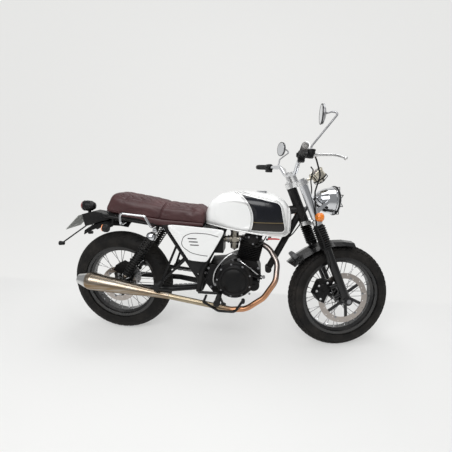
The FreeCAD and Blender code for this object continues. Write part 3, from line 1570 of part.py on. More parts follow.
# the line pressed round the slots, as distances ahead of the first slot's end and above it
panel_line_steps = [(172, 16), (70, 32), (4, 24), (-30, -8), (-25, -48), (24, -82), (112, -96)]
slot_corner = V(size.panel_slot_rear, -size.panel_out, size.rail_front_height - size.panel_slot_drop)
panel_line = tube([slot_corner + V(ahead, 0, rise) for ahead, rise in panel_line_steps],
                  size.panel_line_radius, size.panel_slot_length)
panel_cuts = [panel_line]
for index in range(3):
    low_corner = slot_corner + V(index * size.panel_slot_height * 0.9, -size.cut_overrun,
                                 -index * size.panel_slot_step - size.panel_slot_height / 2)
    panel_cuts.append(Part.makeBox(size.panel_slot_length, size.panel_wall / 2 + size.cut_overrun,
                                   size.panel_slot_height, low_corner))
panel_shape = largest(fused([panel_shape] + panel_pegs).cut(frame_blocks + panel_cuts))
stands(feature("side_panels", both_sides(panel_shape)), parked)


# Rear end

rear_end_sizes = {
    "rear_guard_radius": 398,
    "rear_guard_half": 76,
    "rear_guard_drop": 30,
    "rear_guard_start": 78,
    "rear_guard_end": 124,
    "guard_hanger_forward": 32,
    "plate_width": 150,
    "plate_height": 125,
    "plate_thickness": 3,
    "plate_top_back": -232,
    "plate_top_drop": 5,
    "plate_bottom_back": -320,
    "plate_bottom_drop": 92,
    "tail_lamp_back": -205,
    "tail_lamp_rise": 44,
    "tail_block_half": 42,
    "reflector_forward": -300,
    "reflector_out": 150,
    "reflector_drop": 160,
    "reflector_half": 13,
    "reflector_depth": 26,
    "reflector_arm_radius": 4,
    "tail_lamp_radius": 33,
    "tail_lamp_length": 86,
    "rail_bar_radius": 7,
    "rear_indicator_forward": -14,
    "rear_indicator_drop": 56,
}
name_sizes(rear_end_sizes)
rear_guard = mudguard(size.rear_guard_radius, size.rear_guard_half, size.rear_guard_drop, size.guard_wall,
                      size.rear_guard_start, size.rear_guard_end, rear_axle, 0)
guard_hangers = []
for sign in (1, -1):
    hanger_foot = V(size.guard_hanger_forward, sign * size.rear_guard_half * 0.9,
                    rear_axle.z + size.rear_guard_radius - size.rear_guard_drop * 0.8)
    hanger_head = V(size.guard_hanger_forward, sign * size.rail_spread, rail_rear_height)
    guard_hangers.append(rod(hanger_foot, hanger_head, size.indicator_stem_radius))
tail_centre = V(size.tail_lamp_back, 0, rail_rear_height + size.tail_lamp_rise)
tail_profile = [(-0.5, 0.55), (-0.42, 0.85), (-0.1, 1.0), (0.2, 0.92), (0.42, 0.6), (0.5, 0.2)]
tail_light = turned_along([(share * size.tail_lamp_length, wide * size.tail_lamp_radius)
                           for share, wide in tail_profile], tail_centre, FORWARD)
plate_top = V(size.plate_top_back, 0, rail_rear_height - size.plate_top_drop)
plate_bottom = V(size.plate_bottom_back, 0, rail_rear_height - size.plate_bottom_drop)
plate_down = (plate_bottom - plate_top).normalize()
plate_normal = plate_down.cross(ACROSS)
plate_corner = plate_top - ACROSS * size.plate_width / 2
plate = slab([plate_corner, plate_corner + ACROSS * size.plate_width,
              plate_corner + ACROSS * size.plate_width + plate_down * size.plate_height,
              plate_corner + plate_down * size.plate_height], plate_normal * size.plate_thickness)
plate_face = plate_top + plate_down * size.plate_height / 2
guard_tail_angle = math.radians(size.rear_guard_end)
guard_tail = rear_axle + V(math.cos(guard_tail_angle), 0, math.sin(guard_tail_angle)) * size.rear_guard_radius
hanger_end = plate_top + plate_down * (size.plate_height / 3) + plate_normal * size.plate_thickness / 2
plate_hanger = rod(guard_tail, hanger_end, size.indicator_stem_radius)
tail_stalk = rod(V(tail_centre.x, 0, rail_rear_height), tail_centre, size.indicator_stem_radius * 1.5)
# the tail block's outline, as distances behind the rail's rear corner and above the rail
tail_block_steps = [(0, -30), (0, 2), (100, 16), (171, -3), (156, -78), (90, -60)]
tail_outline = [V(rail_rear.x - back, -size.tail_block_half, rail_rear_height + rise)
                for back, rise in tail_block_steps]
crown = Part.makeCylinder(size.rear_guard_radius - size.guard_wall / 2, 2 * size.tail_block_half,
                          rear_axle - ACROSS * size.tail_block_half, ACROSS)
tail_block = slab(tail_outline, ACROSS * 2 * size.tail_block_half).cut(crown)
rear_guard = fused([rear_guard, tail_block, plate_hanger, tail_stalk] + guard_hangers)
rear_guard = largest(rear_guard.cut(frame_blocks + [seat_base, seat_pad, plate, tail_light]))
stands(feature("rear_mudguard", rear_guard), parked)
stands(feature("tail_light", tail_light), parked)
stands(feature("number_plate", plate), parked)

reflector_centre = V(size.reflector_forward, size.reflector_out, rail_rear_height - size.reflector_drop)
reflector_root = V(tail_outline[-2].x + size.reflector_half, size.tail_block_half / 2,
                   tail_outline[-2].z + size.reflector_half)
reflector_arm = rod(reflector_root, reflector_centre, size.reflector_arm_radius)
reflector = turned_along([(-size.reflector_depth / 2, size.reflector_half * 0.8),
                          (size.reflector_depth / 2, size.reflector_half)], reflector_centre, -FORWARD)
reflector = largest(fused([reflector_arm, reflector]).cut([rear_guard, plate]))
stands(feature("rear_reflectors", both_sides(reflector)), parked)

rear_lamp_root = V(size.rear_indicator_forward, size.rail_spread, rail_rear_height - size.rear_indicator_drop)
rear_indicator = indicator(rear_lamp_root, ACROSS, size.indicator_reach)
rear_stem = rod(rear_lamp_root, V(rear_lamp_root.x + size.rail_radius, size.rail_spread, rail_rear_height),
                size.indicator_stem_radius)
rear_indicator = largest(fused([rear_indicator, rear_stem]).cut(frame_blocks))
stands(feature("rear_indicators", both_sides(rear_indicator)), parked)

grab_sizes = {
    "grab_front": 244,
    "grab_rear": 66,
    "grab_rise": 62,
    "grab_out": 150,
}
name_sizes(grab_sizes)
grab_corners = [V(size.grab_front, size.rail_spread, rail_middle_height),
                V(size.grab_front, size.grab_out, rail_middle_height),
                V(size.grab_front - size.rail_bar_radius * 5, size.grab_out, rail_middle_height + size.grab_rise),
                V(size.grab_rear, size.grab_out, rail_middle_height + size.grab_rise * 1.2),
                V(size.grab_rear, size.grab_out, rail_middle_height + size.rail_bar_radius),
                V(size.grab_rear, size.rail_spread, rail_middle_height + size.rail_radius)]
grab = tube(grab_corners, size.rail_bar_radius, size.rail_bar_radius * 2.5)
grab = largest(grab.cut(frame_blocks + [seat_base]))
grab_middle = (grab_corners[2] + grab_corners[3]) / 2
grab_along = (grab_corners[2] - grab_corners[3]).normalize()
stands(feature("grab_rails", both_sides(grab)), parked)


# Footrests, foot controls and side stand

footrest_sizes = {
    "footrest_forward": 632,
    "footrest_height": 316,
    "footrest_in": 120,
    "footrest_out": 255,
    "footrest_radius": 13,
    "footrest_plate_wall": 8,
    "pillion_forward": 292,
    "pillion_height": 372,
    "pillion_in": 140,
    "pillion_out": 235,
    "pedal_forward": 770,
    "pedal_out": 190,
    "pedal_radius": 7,
}
name_sizes(footrest_sizes)


# where the passenger's hanger meets the strut, as shares of the strut's length from its top
hanger_shares = (0.36, 0.62)


def make_footrests():
    """Rider's and passenger's pegs with the hangers that carry them, for the left side."""
    plate_y = size.pivot_spread + size.side_tube_radius
    hanger = rod(V(size.pivot_forward, plate_y, size.pivot_height),
                 V(size.footrest_forward, plate_y, size.footrest_height), size.footrest_plate_wall)
    peg = rod(V(size.footrest_forward, plate_y, size.footrest_height),
              V(size.footrest_forward, size.footrest_out, size.footrest_height), size.footrest_radius)
    front = fused([hanger, peg]).cut(frame_blocks + [crankcase, swingarm])
    pillion = V(size.pillion_forward, size.pillion_in, size.pillion_height)
    arms = [rod(rail_middle + (strut_foot - rail_middle) * share, pillion, size.pedal_radius)
            for share in hanger_shares]
    pillion_peg = rod(pillion, V(pillion.x, size.pillion_out, pillion.z), size.footrest_radius)
    rear = fused(arms + [pillion_peg]).cut(frame_blocks + [swingarm])
    return front, rear


front_rest, rear_rest = make_footrests()
footrests = Part.makeCompound([front_rest, rear_rest, mirrored(front_rest), mirrored(rear_rest)])
stands(feature("footrests", footrests), parked)

foot_pivot = V(size.pivot_forward + size.rail_radius * 4, size.pedal_out, size.pivot_height - size.caliper_half)
pedal_low = V(size.footrest_forward, size.pedal_out, size.footrest_height - size.caliper_height)
pedal_tip = V(size.pedal_forward, size.pedal_out, size.footrest_height)
pedal = tube([foot_pivot, pedal_low, V(size.pedal_forward - size.rail_radius * 4, size.pedal_out, pedal_low.z),
              pedal_tip], size.pedal_radius, size.rail_radius * 3)
pedal_pad = rod(pedal_tip, pedal_tip + ACROSS * size.caliper_half, size.pedal_radius * 1.5)
pedal_shaft = rod(foot_pivot, V(foot_pivot.x, size.pivot_spread, foot_pivot.z), size.pedal_radius)
brake_pedal = mirrored(fused([pedal, pedal_pad, pedal_shaft]))
shift_pivot = V(size.footrest_forward + size.rail_radius * 3, size.pedal_out, size.footrest_height
                + size.caliper_half)
gear_lever = fused([rod(shift_pivot, pedal_tip, size.pedal_radius), pedal_pad,
                    rod(shift_pivot, V(shift_pivot.x, size.case_half - size.rim_wall, shift_pivot.z),
                        size.pedal_radius)])
foot_blocks = frame_blocks + [crankcase, footrests, swingarm, header]
stands(feature("foot_controls", Part.makeCompound([brake_pedal.cut(foot_blocks), gear_lever.cut(foot_blocks)])),
       parked)

stand_sizes = {
    "stand_pivot_forward": 560,
    "stand_pivot_out": 128,
    "stand_pivot_height": 262,
    "stand_foot_forward": 604,
    "stand_foot_out": 288,
    "stand_leg_radius": 9,
    "stand_foot_radius": 20,
    "stand_foot_depth": 8,
    "stand_axis_tilt": 31,
    "stand_pin_radius": 6,
    "stand_eye_radius": 14,
    "stand_eye_half": 10,
    "stand_bracket_depth": 16,
    "stand_arm_radius": 8,
}
name_sizes(stand_sizes)
stand_tilt = math.radians(size.stand_axis_tilt)
stand_axis = V(0, math.cos(stand_tilt), math.sin(stand_tilt))
stand_pivot = V(size.stand_pivot_forward, size.stand_pivot_out, size.stand_pivot_height)


def ground_under(x, y):
    """The point on the ground below a place on the upright bike, found along the bike's own height."""
    low_point = parked.multVec(V(x, y, 0))
    upright = parked.Rotation.multVec(UP)
    return V(x, y, -low_point.z / upright.z)


ground_up = parked.Rotation.inverted().multVec(UP)
stand_ground = ground_under(size.stand_foot_forward, size.stand_foot_out)
stand_foot = Part.makeCylinder(size.stand_foot_radius, size.stand_foot_depth, stand_ground, ground_up)
stand_leg = rod(stand_pivot, stand_ground + ground_up * size.stand_foot_depth / 2, size.stand_leg_radius)
stand_leg = stand_leg.cut(Part.makeCylinder(size.stand_foot_radius, size.stand_foot_depth,
                                            stand_ground - ground_up * size.stand_foot_depth, ground_up))
stand_eye = Part.makeCylinder(size.stand_eye_radius, 2 * size.stand_eye_half,
                              stand_pivot - stand_axis * size.stand_eye_half, stand_axis)
stand_hole = Part.makeCylinder(size.stand_pin_radius + size.running_gap, 4 * size.stand_eye_half,
                               stand_pivot - stand_axis * 2 * size.stand_eye_half, stand_axis)
stands(feature("side_stand", fused([stand_leg, stand_foot, stand_eye]).cut(stand_hole)), parked)
bracket_start = stand_pivot - stand_axis * (size.stand_eye_half + size.soft_gap)
bracket_end = bracket_start - stand_axis * size.stand_bracket_depth
stand_bracket = rod(bracket_end, bracket_start, size.stand_eye_radius)
stand_pin = rod(bracket_start - stand_axis * size.stand_eye_half,
                bracket_start + stand_axis * 2.5 * size.stand_eye_half, size.stand_pin_radius)
stand_arm = rod(bracket_end - stand_axis * size.stand_arm_radius / 2, side_foot, size.stand_arm_radius)
stand_carrier = fused([stand_bracket, stand_pin, stand_arm]).cut([footrests, crankcase])
frame_shape = fused([frame_shape, stand_carrier])
stands(feature("frame", frame_shape), parked)


# Chain, chain guard, rear caliper

chain_sizes = {
    "front_sprocket_radius": 30,
    "chain_pitch": 15.875,
    "chain_half_height": 6,
    "chain_half_width": 6.5,
    "chain_core_share": 0.6,
    "chain_front": 585,
    "chain_front_height": 328,
    "chain_guard_wall": 2.5,
}
name_sizes(chain_sizes)
small_centre = V(size.chain_front, 0, size.chain_front_height)


def chain_path(grow):
    """The closed line around both sprockets, set off from the pitch line as asked."""
    big = size.sprocket_pitch_radius + grow
    small = size.front_sprocket_radius + grow
    between = small_centre - V(rear_axle.x, 0, rear_axle.z)
    slope = math.asin((big - small) / between.Length)
    direction = math.atan2(between.z, between.x)
    corners = []
    for sign in (1, -1):
        angle = direction + sign * (math.pi / 2 - slope)
        normal = V(math.cos(angle), 0, math.sin(angle))
        corners.append((V(rear_axle.x, 0, rear_axle.z) + normal * big, small_centre + normal * small))
    far_back = V(rear_axle.x, 0, rear_axle.z) - V(math.cos(direction), 0, math.sin(direction)) * big
    far_front = small_centre + V(math.cos(direction), 0, math.sin(direction)) * small
    edges = [Part.LineSegment(corners[0][0], corners[0][1]).toShape(),
             Part.Arc(corners[0][1], far_front, corners[1][1]).toShape(),
             Part.LineSegment(corners[1][1], corners[1][0]).toShape(),
             Part.Arc(corners[1][0], far_back, corners[0][0]).toShape()]
    return Part.Wire(edges)


def chain_band(grow, half_width):
    """What lies inside a line around both sprockets, as wide as asked about the chain's line."""
    face = Part.Face(chain_path(grow))
    face.translate(ACROSS * (size.chain_line - half_width))
    return face.extrude(ACROSS * 2 * half_width)


def make_chain():
    """A band of rollers and inner links, with the outer link plates set on it at every second pitch."""
    core_height = size.chain_half_height * size.chain_core_share
    core_width = size.chain_half_width * size.chain_core_share
    core = chain_band(core_height, core_width).cut(chain_band(-core_height, core_width + size.cut_overrun))
    path = chain_path(0)
    count = int(path.Length / (2 * size.chain_pitch))
    spots = path.discretize(Number=count * 2 + 1)
    plates = []
    for index in range(count):
        before, middle, after = spots[2 * index], spots[2 * index + 1], spots[2 * index + 2]
        along = (after - before).normalize()
        outward = along.cross(ACROSS)
        corner = middle + ACROSS * (size.chain_line - size.chain_half_width)
        reach = along * size.chain_pitch * 0.72
        rise = outward * size.chain_half_height
        outline = [corner - reach - rise, corner + reach - rise, corner + reach + rise, corner - reach + rise]
        plates.append(slab(outline, ACROSS * 2 * size.chain_half_width))
    return fused([core] + plates)


stands(feature("chain", largest(make_chain().cut([crankcase, swingarm]))), parked)

guard_start = V(rear_axle.x, size.chain_line, rear_axle.z + size.sprocket_pitch_radius + size.caliper_half)
guard_stop = V(size.pivot_forward - size.caliper_height, size.chain_line,
               size.chain_front_height + size.front_sprocket_radius + size.caliper_half)
guard_half = ACROSS * (size.chain_half_width + size.caliper_slot)
guard_plate = slab([guard_start - guard_half, guard_stop - guard_half, guard_stop + guard_half,
                    guard_start + guard_half], UP * size.chain_guard_wall)
guard_skirt = UP * size.caliper_half
guard_side = slab([guard_start + guard_half, guard_stop + guard_half, guard_stop + guard_half - guard_skirt,
                   guard_start + guard_half - guard_skirt], ACROSS * size.chain_guard_wall)
guard_stay = rod(V(size.pivot_forward / 2, size.swingarm_spread, size.pivot_height),
                 V(size.pivot_forward / 2, size.chain_line + size.chain_half_width + size.caliper_slot,
                   size.chain_front_height + size.sprocket_pitch_radius - size.rail_radius * 2),
                 size.chain_guard_wall * 1.5)
guard_whole = largest(fused([guard_plate, guard_side, guard_stay]).cut(frame_blocks + [swingarm]))
stands(feature("chain_guard", guard_whole), parked)

rear_caliper = caliper(rear_axle, size.rear_disc_radius, -size.rear_disc_offset, size.rear_caliper_angle,
                       size.rear_caliper_half)
caliper_foot = V(size.shock_lower_forward + size.caliper_half,
                 size.rail_radius / 2 - size.swingarm_spread, size.pivot_height)
caliper_head = caliper_foot + UP * size.caliper_height
rear_caliper = largest(fused([rear_caliper, rod(caliper_foot, caliper_head, size.rail_radius)]).cut([swingarm]))
stands(feature("rear_caliper", rear_caliper), parked)


# Hoses and cables

hose_sizes = {
    "hose_radius": 4,
    "cable_radius": 3.2,
}
name_sizes(hose_sizes)


def hose_route():
    """Corners of the front brake hose, from the master cylinder down beside the right leg to the caliper."""
    leg_y = -size.leg_spread + size.slider_radius / 2
    return [
        V(reservoir_centre.x + size.reservoir_radius, reservoir_centre.y, reservoir_centre.z),
        V(reservoir_centre.x + size.reservoir_radius + 20, reservoir_centre.y + 30, reservoir_centre.z - 10),
        V(1110, -160, 985),
        V(1098, -130, 900),
        V(1104, -130, 800),
        V(1110, -140, 720),
        V(1150, -142, 640),
        V(1175, -140, 560),
        V(1195, -128, 500),
        V(1190, -105, 455),
    ]


hose = tube(hose_route(), size.hose_radius, 40).cut([front_caliper, right_controls])
stands(feature("brake_hose", hose), parked_turned)

cable_route = [steer_turn.multVec(spot) for spot in
               (V(1040, -205, 1018), V(1075, -150, 1010), on_fork(88, -78, 1010), on_fork(84, -45, 940))]
cable_route += [on_fork(34, -52, 872), on_fork(-34, -50, 800), V(1034, -37, 668), V(985, -22.4, 612)]
stands(feature("control_cables", tube(cable_route, size.cable_radius, 60)), parked)


# The whole is set with its origin under the middle of its box, on the ground

doc.recompute()
reach = FreeCAD.BoundBox()
for obj in nodes.values():
    reach.add(obj.Shape.BoundBox)
shift = FreeCAD.Placement(V(-reach.Center.x, -reach.Center.y, 0), FreeCAD.Rotation())
for obj in nodes.values():
    obj.Placement = shift.multiply(obj.Placement)
doc.recompute()

for obj in doc.Objects:
    if "Invalid" in obj.State or "Error" in obj.State:
        raise RuntimeError(f"{obj.Name} failed: {obj.State}")
faulty = [name for name, obj in nodes.items()
          if obj.Shape.isNull() or not obj.Shape.isValid() or not obj.Shape.Solids]
if faulty:
    raise RuntimeError(f"no valid solid in {faulty}")
for name, obj in nodes.items():
    obj.Shape.exportStep(f"parts/{name}.step")

row = shift.multiply(parked)
row_turned = shift.multiply(parked_turned)
for word, placement, spot in (
        ("rear axle", row, rear_axle), ("front axle", row_turned, front_axle), ("steering base", row, steer_base),
        ("stand pivot", row, stand_pivot), ("stand ground", row, stand_ground),
        ("bar centre", row_turned, bar_centre), ("plate face", row, plate_face),
        ("left grab rail", row, grab_middle)):
    placed = placement.multVec(spot)
    print(word, round(placed.x, 3), round(placed.y, 3), round(placed.z, 3))
for word, placement, direction in (("wheel axis rear", row, ACROSS), ("wheel axis front", row_turned, ACROSS),
                                   ("steering axis", row, steer_up), ("stand axis", row, stand_axis),
                                   ("plate normal", row, -plate_normal), ("grab rail axis", row, grab_along)):
    placed = placement.Rotation.multVec(direction)
    print(word, round(placed.x, 6), round(placed.y, 6), round(placed.z, 6))
print("cable radius", size.cable_radius, "hose radius", size.hose_radius)
print("box", reach.XLength, reach.YLength, reach.ZLength, "nodes", len(nodes))
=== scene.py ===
import json
import math
import bmesh
import bpy
import numpy as np
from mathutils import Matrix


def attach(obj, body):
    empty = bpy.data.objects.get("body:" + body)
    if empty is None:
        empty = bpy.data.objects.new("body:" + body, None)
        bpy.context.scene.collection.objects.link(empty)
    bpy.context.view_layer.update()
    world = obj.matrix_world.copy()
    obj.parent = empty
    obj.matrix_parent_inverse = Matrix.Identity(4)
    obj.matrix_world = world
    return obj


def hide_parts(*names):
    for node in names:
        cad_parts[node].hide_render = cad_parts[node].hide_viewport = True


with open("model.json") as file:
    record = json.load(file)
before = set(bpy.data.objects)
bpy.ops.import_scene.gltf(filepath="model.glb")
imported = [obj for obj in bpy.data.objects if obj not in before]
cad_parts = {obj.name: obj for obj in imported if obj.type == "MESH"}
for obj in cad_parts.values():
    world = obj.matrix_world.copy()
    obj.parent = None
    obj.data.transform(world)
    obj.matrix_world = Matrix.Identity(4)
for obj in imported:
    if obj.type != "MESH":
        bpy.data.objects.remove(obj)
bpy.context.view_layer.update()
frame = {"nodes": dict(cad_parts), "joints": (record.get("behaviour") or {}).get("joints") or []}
print("frame loaded:", len(frame["nodes"]), "nodes")


# places, worked out from the joints of the frame

jointOf = {joint["name"]: joint for joint in frame["joints"]}
joints = [jointOf[name] for name in ("rear_wheel_spin", "front_wheel_spin", "steering_turn")]
rearHub, frontHub, steerBase = (np.array(joint["pos_m"]) for joint in joints)
rearAxis, frontAxis, steerAxis = (np.array(joint["axis"]) for joint in joints)

bikePlaces = {
    "rearHubHeight": 0.316,
    "steerBaseAhead": 1.415,    # the steering axis meets the ground this far ahead of the rear hub
    "rake": 23.5,
    "forkOffset": 0.0319,
    "legSpread": 0.100,
}


def unit(vector):
    # a vector, or each row of several, at length 1
    return vector / np.linalg.norm(vector, axis=-1, keepdims=True)


def turnAbout(axis, angle):
    # Rodrigues: the matrix that turns a point by an angle about a unit axis
    x, y, z = axis
    cross = np.array([[0, -z, y], [z, 0, -x], [-y, x, 0]])
    return np.eye(3) + math.sin(angle) * cross + (1 - math.cos(angle)) * cross @ cross


def bikeAxes():
    # the upright bike's own axes: left is the rear axle's, and forward and up come from the line
    # between the rear hub and the foot of the steering axis
    line = unit(steerBase - rearHub)
    square = np.cross(line, rearAxis)
    slope = math.atan2(-bikePlaces["rearHubHeight"], bikePlaces["steerBaseAhead"])
    forward = math.cos(slope) * line - math.sin(slope) * square
    upward = math.sin(slope) * line + math.cos(slope) * square
    return np.array([forward, rearAxis, upward])


axesOfBike = bikeAxes()
originOfBike = rearHub - bikePlaces["rearHubHeight"] * axesOfBike[2]
steerAngle = math.acos(np.clip(rearAxis @ frontAxis, -1, 1))
steerAngle *= math.copysign(1, np.cross(rearAxis, frontAxis) @ steerAxis)
steerTurn = turnAbout(unit(steerAxis), steerAngle)
forkAxes = axesOfBike @ steerTurn.T
bikeAhead, bikeLeft, bikeUp = axesOfBike
bikeRight = -bikeLeft
forkAhead, forkLeft, forkUp = forkAxes


def onBike(points):
    # bike coordinates (forward, left, up from the ground below the rear hub) to the frame's
    return originOfBike + np.asarray(points, float) @ axesOfBike


def onFork(points):
    # the same for what steers: drawn straight ahead, then turned about the steering axis
    return steerBase + (onBike(points) - steerBase) @ steerTurn.T


def alongFork(out, left, rise):
    # fork coordinates to the frame's: ahead of the steering axis, to the left, and up along it
    rake = math.radians(bikePlaces["rake"])
    ahead = bikePlaces["steerBaseAhead"] + out * math.cos(rake) - rise * math.sin(rake)
    above = out * math.sin(rake) + rise * math.cos(rake)
    return onFork(np.stack(np.broadcast_arrays(ahead, left, above), -1))


def backToBike(points):
    # the frame's coordinates to the bike's
    return (np.asarray(points) - originOfBike) @ axesOfBike.T


def linked(name, data, axes=None, place=None):
    # a new object in the scene; a camera or a lamp gets a matrix of three axes and a place
    thing = bpy.data.objects.new(name, data)
    bpy.context.scene.collection.objects.link(thing)
    if axes is not None:
        matrix = np.eye(4)
        matrix[:3, :3] = np.transpose(axes)
        matrix[:3, 3] = place
        thing.matrix_world = matrix.T
    return thing


# the camera, at the photo's viewing angle

cameraSizes = {
    "fromRearHub": (0.8395, -1.5774, 0.9370), "azimuth": 6.7035, "downward": 19.1445, "roll": -0.1768,
    "lens": 23.353, "sensor": 36.0, "reach": 60,
}


def makeCamera(sizes):
    # it looks along its azimuth and down by its tilt, and is then rolled about that line
    azimuth, downward, roll = (math.radians(sizes[k]) for k in ("azimuth", "downward", "roll"))
    view = np.array([-math.sin(azimuth) * math.cos(downward), math.cos(azimuth) * math.cos(downward),
                     -math.sin(downward)])
    right = np.array([math.cos(azimuth), math.sin(azimuth), 0])
    above = np.cross(right, view)
    axes = [right * math.cos(roll) + above * math.sin(roll), above * math.cos(roll) - right * math.sin(roll),
            -view]
    data = bpy.data.cameras.new("camera")
    data.lens, data.sensor_width, data.clip_end = sizes["lens"], sizes["sensor"], sizes["reach"]
    bpy.context.scene.camera = linked("camera", data, axes, rearHub + np.array(sizes["fromRearHub"]))


makeCamera(cameraSizes)
print("camera placed")


# surfaces: each is a grid of points, or a stack of them, and two words that say which directions close

def wholeTurn(count):
    # evenly spaced angles round a circle
    return np.linspace(0, 2 * np.pi, count, endpoint=False)


def bulge(value, power):
    # a power of a value's size, with the value's own sign
    return np.sign(value) * np.abs(value) ** power


def squareTo(axis):
    # two directions square to an axis and to each other, from the world's axis that leans least along it
    reference = np.eye(3)[np.argmin(np.abs(axis), axis=-1)]
    first = unit(np.cross(axis, reference))
    return first, np.cross(axis, first)


def lathe(profile, base, axis, count=32, closed=False):
    # base + distance * axis + radius * (cos * first + sin * second), for each row of the profile
    base, axis = np.asarray(base, float), unit(np.asarray(axis, float))
    first, second = squareTo(axis)
    distance, radius = np.array(profile, float).T
    turn = wholeTurn(count)[:, None]
    circle = first[..., None, :] * np.cos(turn) + second[..., None, :] * np.sin(turn)
    points = base[..., None, None, :] + axis[..., None, None, :] * distance[:, None, None]
    return points + circle[..., None, :, :] * radius[:, None, None], closed, True


def bead(base, axis, distance, radius, half, count=12, around=64):
    # an oval turned about an axis, like a ring with a rounded section
    arc = wholeTurn(count)
    oval = np.stack([distance + half[0] * np.cos(arc), radius + half[1] * np.sin(arc)], -1)
    return lathe(oval, base, axis, around, True)


def ball(radius, middle, axis, rings, count=20):
    # a half circle turned about an axis
    arc = np.radians(np.linspace(-90, 90, rings))
    return lathe(np.stack([radius * np.sin(arc), radius * np.cos(arc)], -1), middle, axis, count)


def smoothLine(corners, steps=8):
    # a Catmull-Rom line: between two corners, a point is a cubic mix of them and their neighbours
    corners = np.asarray(corners, float)
    ends = np.concatenate([[2 * corners[0] - corners[1]], corners, [2 * corners[-1] - corners[-2]]])
    share = (np.arange(steps) / steps)[:, None]
    weights = [-share ** 3 + 2 * share ** 2 - share, 3 * share ** 3 - 5 * share ** 2 + 2,
               -3 * share ** 3 + 4 * share ** 2 + share, share ** 3 - share ** 2]
    spans = len(corners) - 1
    line = sum(w[None] * ends[k:k + spans, None] for k, w in enumerate(weights)) / 2
    return np.concatenate([line.reshape(-1, 3), corners[-1:]])


def pipe(line, radius, count=12):
    # a circle carried along a line, square to it, with a dome of three rings at each end
    line = np.asarray(line, float)
    radius = np.broadcast_to(np.asarray(radius, float), len(line))
    tangent = unit(np.gradient(line, axis=0))
    flattest = np.linalg.svd(line - line.mean(0), full_matrices=False)[2][-1]
    side = unit(np.cross(tangent, flattest))
    over = np.cross(tangent, side)
    rise = np.radians([90, 60, 30])
    before = line[0] - tangent[0] * radius[0] * np.sin(rise)[:, None]
    after = line[-1] + tangent[-1] * radius[-1] * np.sin(rise)[::-1, None]
    line = np.concatenate([before, line, after])
    radius = np.concatenate([radius[0] * np.cos(rise), radius, radius[-1] * np.cos(rise)[::-1]])
    keep = np.clip(np.arange(len(line)) - 3, 0, len(side) - 1)
    turn = wholeTurn(count)[None, :, None]
    circle = side[keep][:, None] * np.cos(turn) + over[keep][:, None] * np.sin(turn)
    return line[:, None] + circle * radius[:, None, None], False, True


def block(centre, ahead, left, up, soft=0.25, count=24):
    # a soft-cornered block: a superellipse section, drawn in towards both of its ends
    turn = wholeTurn(count)[:, None]
    section = bulge(np.cos(turn), 0.35) * ahead + bulge(np.sin(turn), 0.35) * left
    half = np.array([[-1, 0], [-1, 1 - soft], [-1 + soft * 0.3, 1 - soft * 0.3], [-1 + soft, 1]])
    height, width = np.concatenate([half, half[::-1] * (-1, 1)]).T[..., None, None]
    return centre + section * width + up * height, False, True


def plate(outline, centre, ahead, up, left, thickness):
    # a flat outline of (ahead, up) points, thick across, its edge softened a little
    outline = np.array(outline, float)
    middle = outline.mean(0)
    rows = np.array([(0, -0.5), (0.97, -0.5), (1, -0.3), (1, 0.3), (0.97, 0.5), (0, 0.5)])
    grow, across = rows.T[..., None, None]
    flat = middle + (outline - middle) * grow
    return centre + (flat[..., :1] * ahead + flat[..., 1:] * up) + across * thickness * left, False, True


def smoothClosed(corners):
    # a closed outline whose corners are rounded by cutting each one three times, a fifth from its ends
    corners = np.array(corners, float)
    for turn in range(3):
        following = np.roll(corners, -1, 0)
        cuts = [corners * 0.8 + following * 0.2, corners * 0.2 + following * 0.8]
        corners = np.stack(cuts, 1).reshape(-1, 2)
    return corners


def bolts(places, axis, radius, height, sides=6):
    # hexagon heads on washers, turned around their own axis
    profile = [(-height * 0.2, 0), (-height * 0.2, radius * 1.45), (height * 0.15, radius * 1.45),
               (height * 0.2, radius), (height * 0.85, radius), (height, radius * 0.8), (height, 0)]
    places = np.asarray(places, float)
    return lathe(profile, places, np.broadcast_to(np.asarray(axis, float), places.shape), sides)


def gridMesh(name, surfaces):
    # quads between neighbouring points of every grid, all in one mesh
    points, faces, start = [], [], 0
    for grid, closeRows, closeColumns in surfaces:
        rows, columns = grid.shape[-3:-1]
        flat = grid.reshape(-1, 3)
        i, j = np.meshgrid(np.arange(rows if closeRows else rows - 1),
                           np.arange(columns if closeColumns else columns - 1), indexing="ij")
        row, nextRow, nextJ = i * columns, (i + 1) % rows * columns, (j + 1) % columns
        quads = np.stack([row + j, nextRow + j, nextRow + nextJ, row + nextJ], -1).reshape(-1, 4)
        copies = np.arange(len(flat) // (rows * columns)) * rows * columns
        faces.append((quads[None] + copies[:, None, None]).reshape(-1, 4) + start)
        points.append(flat)
        start += len(flat)
    mesh = bpy.data.meshes.new(name)
    mesh.from_pydata(np.concatenate(points), [], np.concatenate(faces).tolist())
    return mesh


def smoothFaces(mesh):
    # every face is shaded smooth
    mesh.polygons.foreach_set("use_smooth", [True] * len(mesh.polygons))


def makePiece(name, surfaces, material, body="chassis", replaces=(), sharp=35):
    # equal points are merged, so that seams and poles close, and the faces are turned outwards
    mesh = gridMesh(name, surfaces)
    merged = bmesh.new()
    merged.from_mesh(mesh)
    bmesh.ops.remove_doubles(merged, verts=merged.verts, dist=1e-6)
    bmesh.ops.recalc_face_normals(merged, faces=merged.faces)
    merged.to_mesh(mesh)
    merged.free()
    smoothFaces(mesh)
    mesh.set_sharp_from_angle(angle=math.radians(sharp))
    return finishPiece(linked(name, mesh), material, body, replaces)


def finishPiece(piece, material, body, replaces=()):
    # its material, its body, and the nodes that it stands for
    piece.data.materials.append(material)
    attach(piece, body)
    if replaces:
        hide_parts(*replaces)
    return piece


# shaders: a wrapped socket adds its own Math nodes, and a paint adds all the others

class Wire:
    def __init__(self, paint, socket):
        self.paint = paint
        self.socket = socket

    def did(self, operation):
        # a Math node that needs no second value
        return self.paint.math(operation, self)


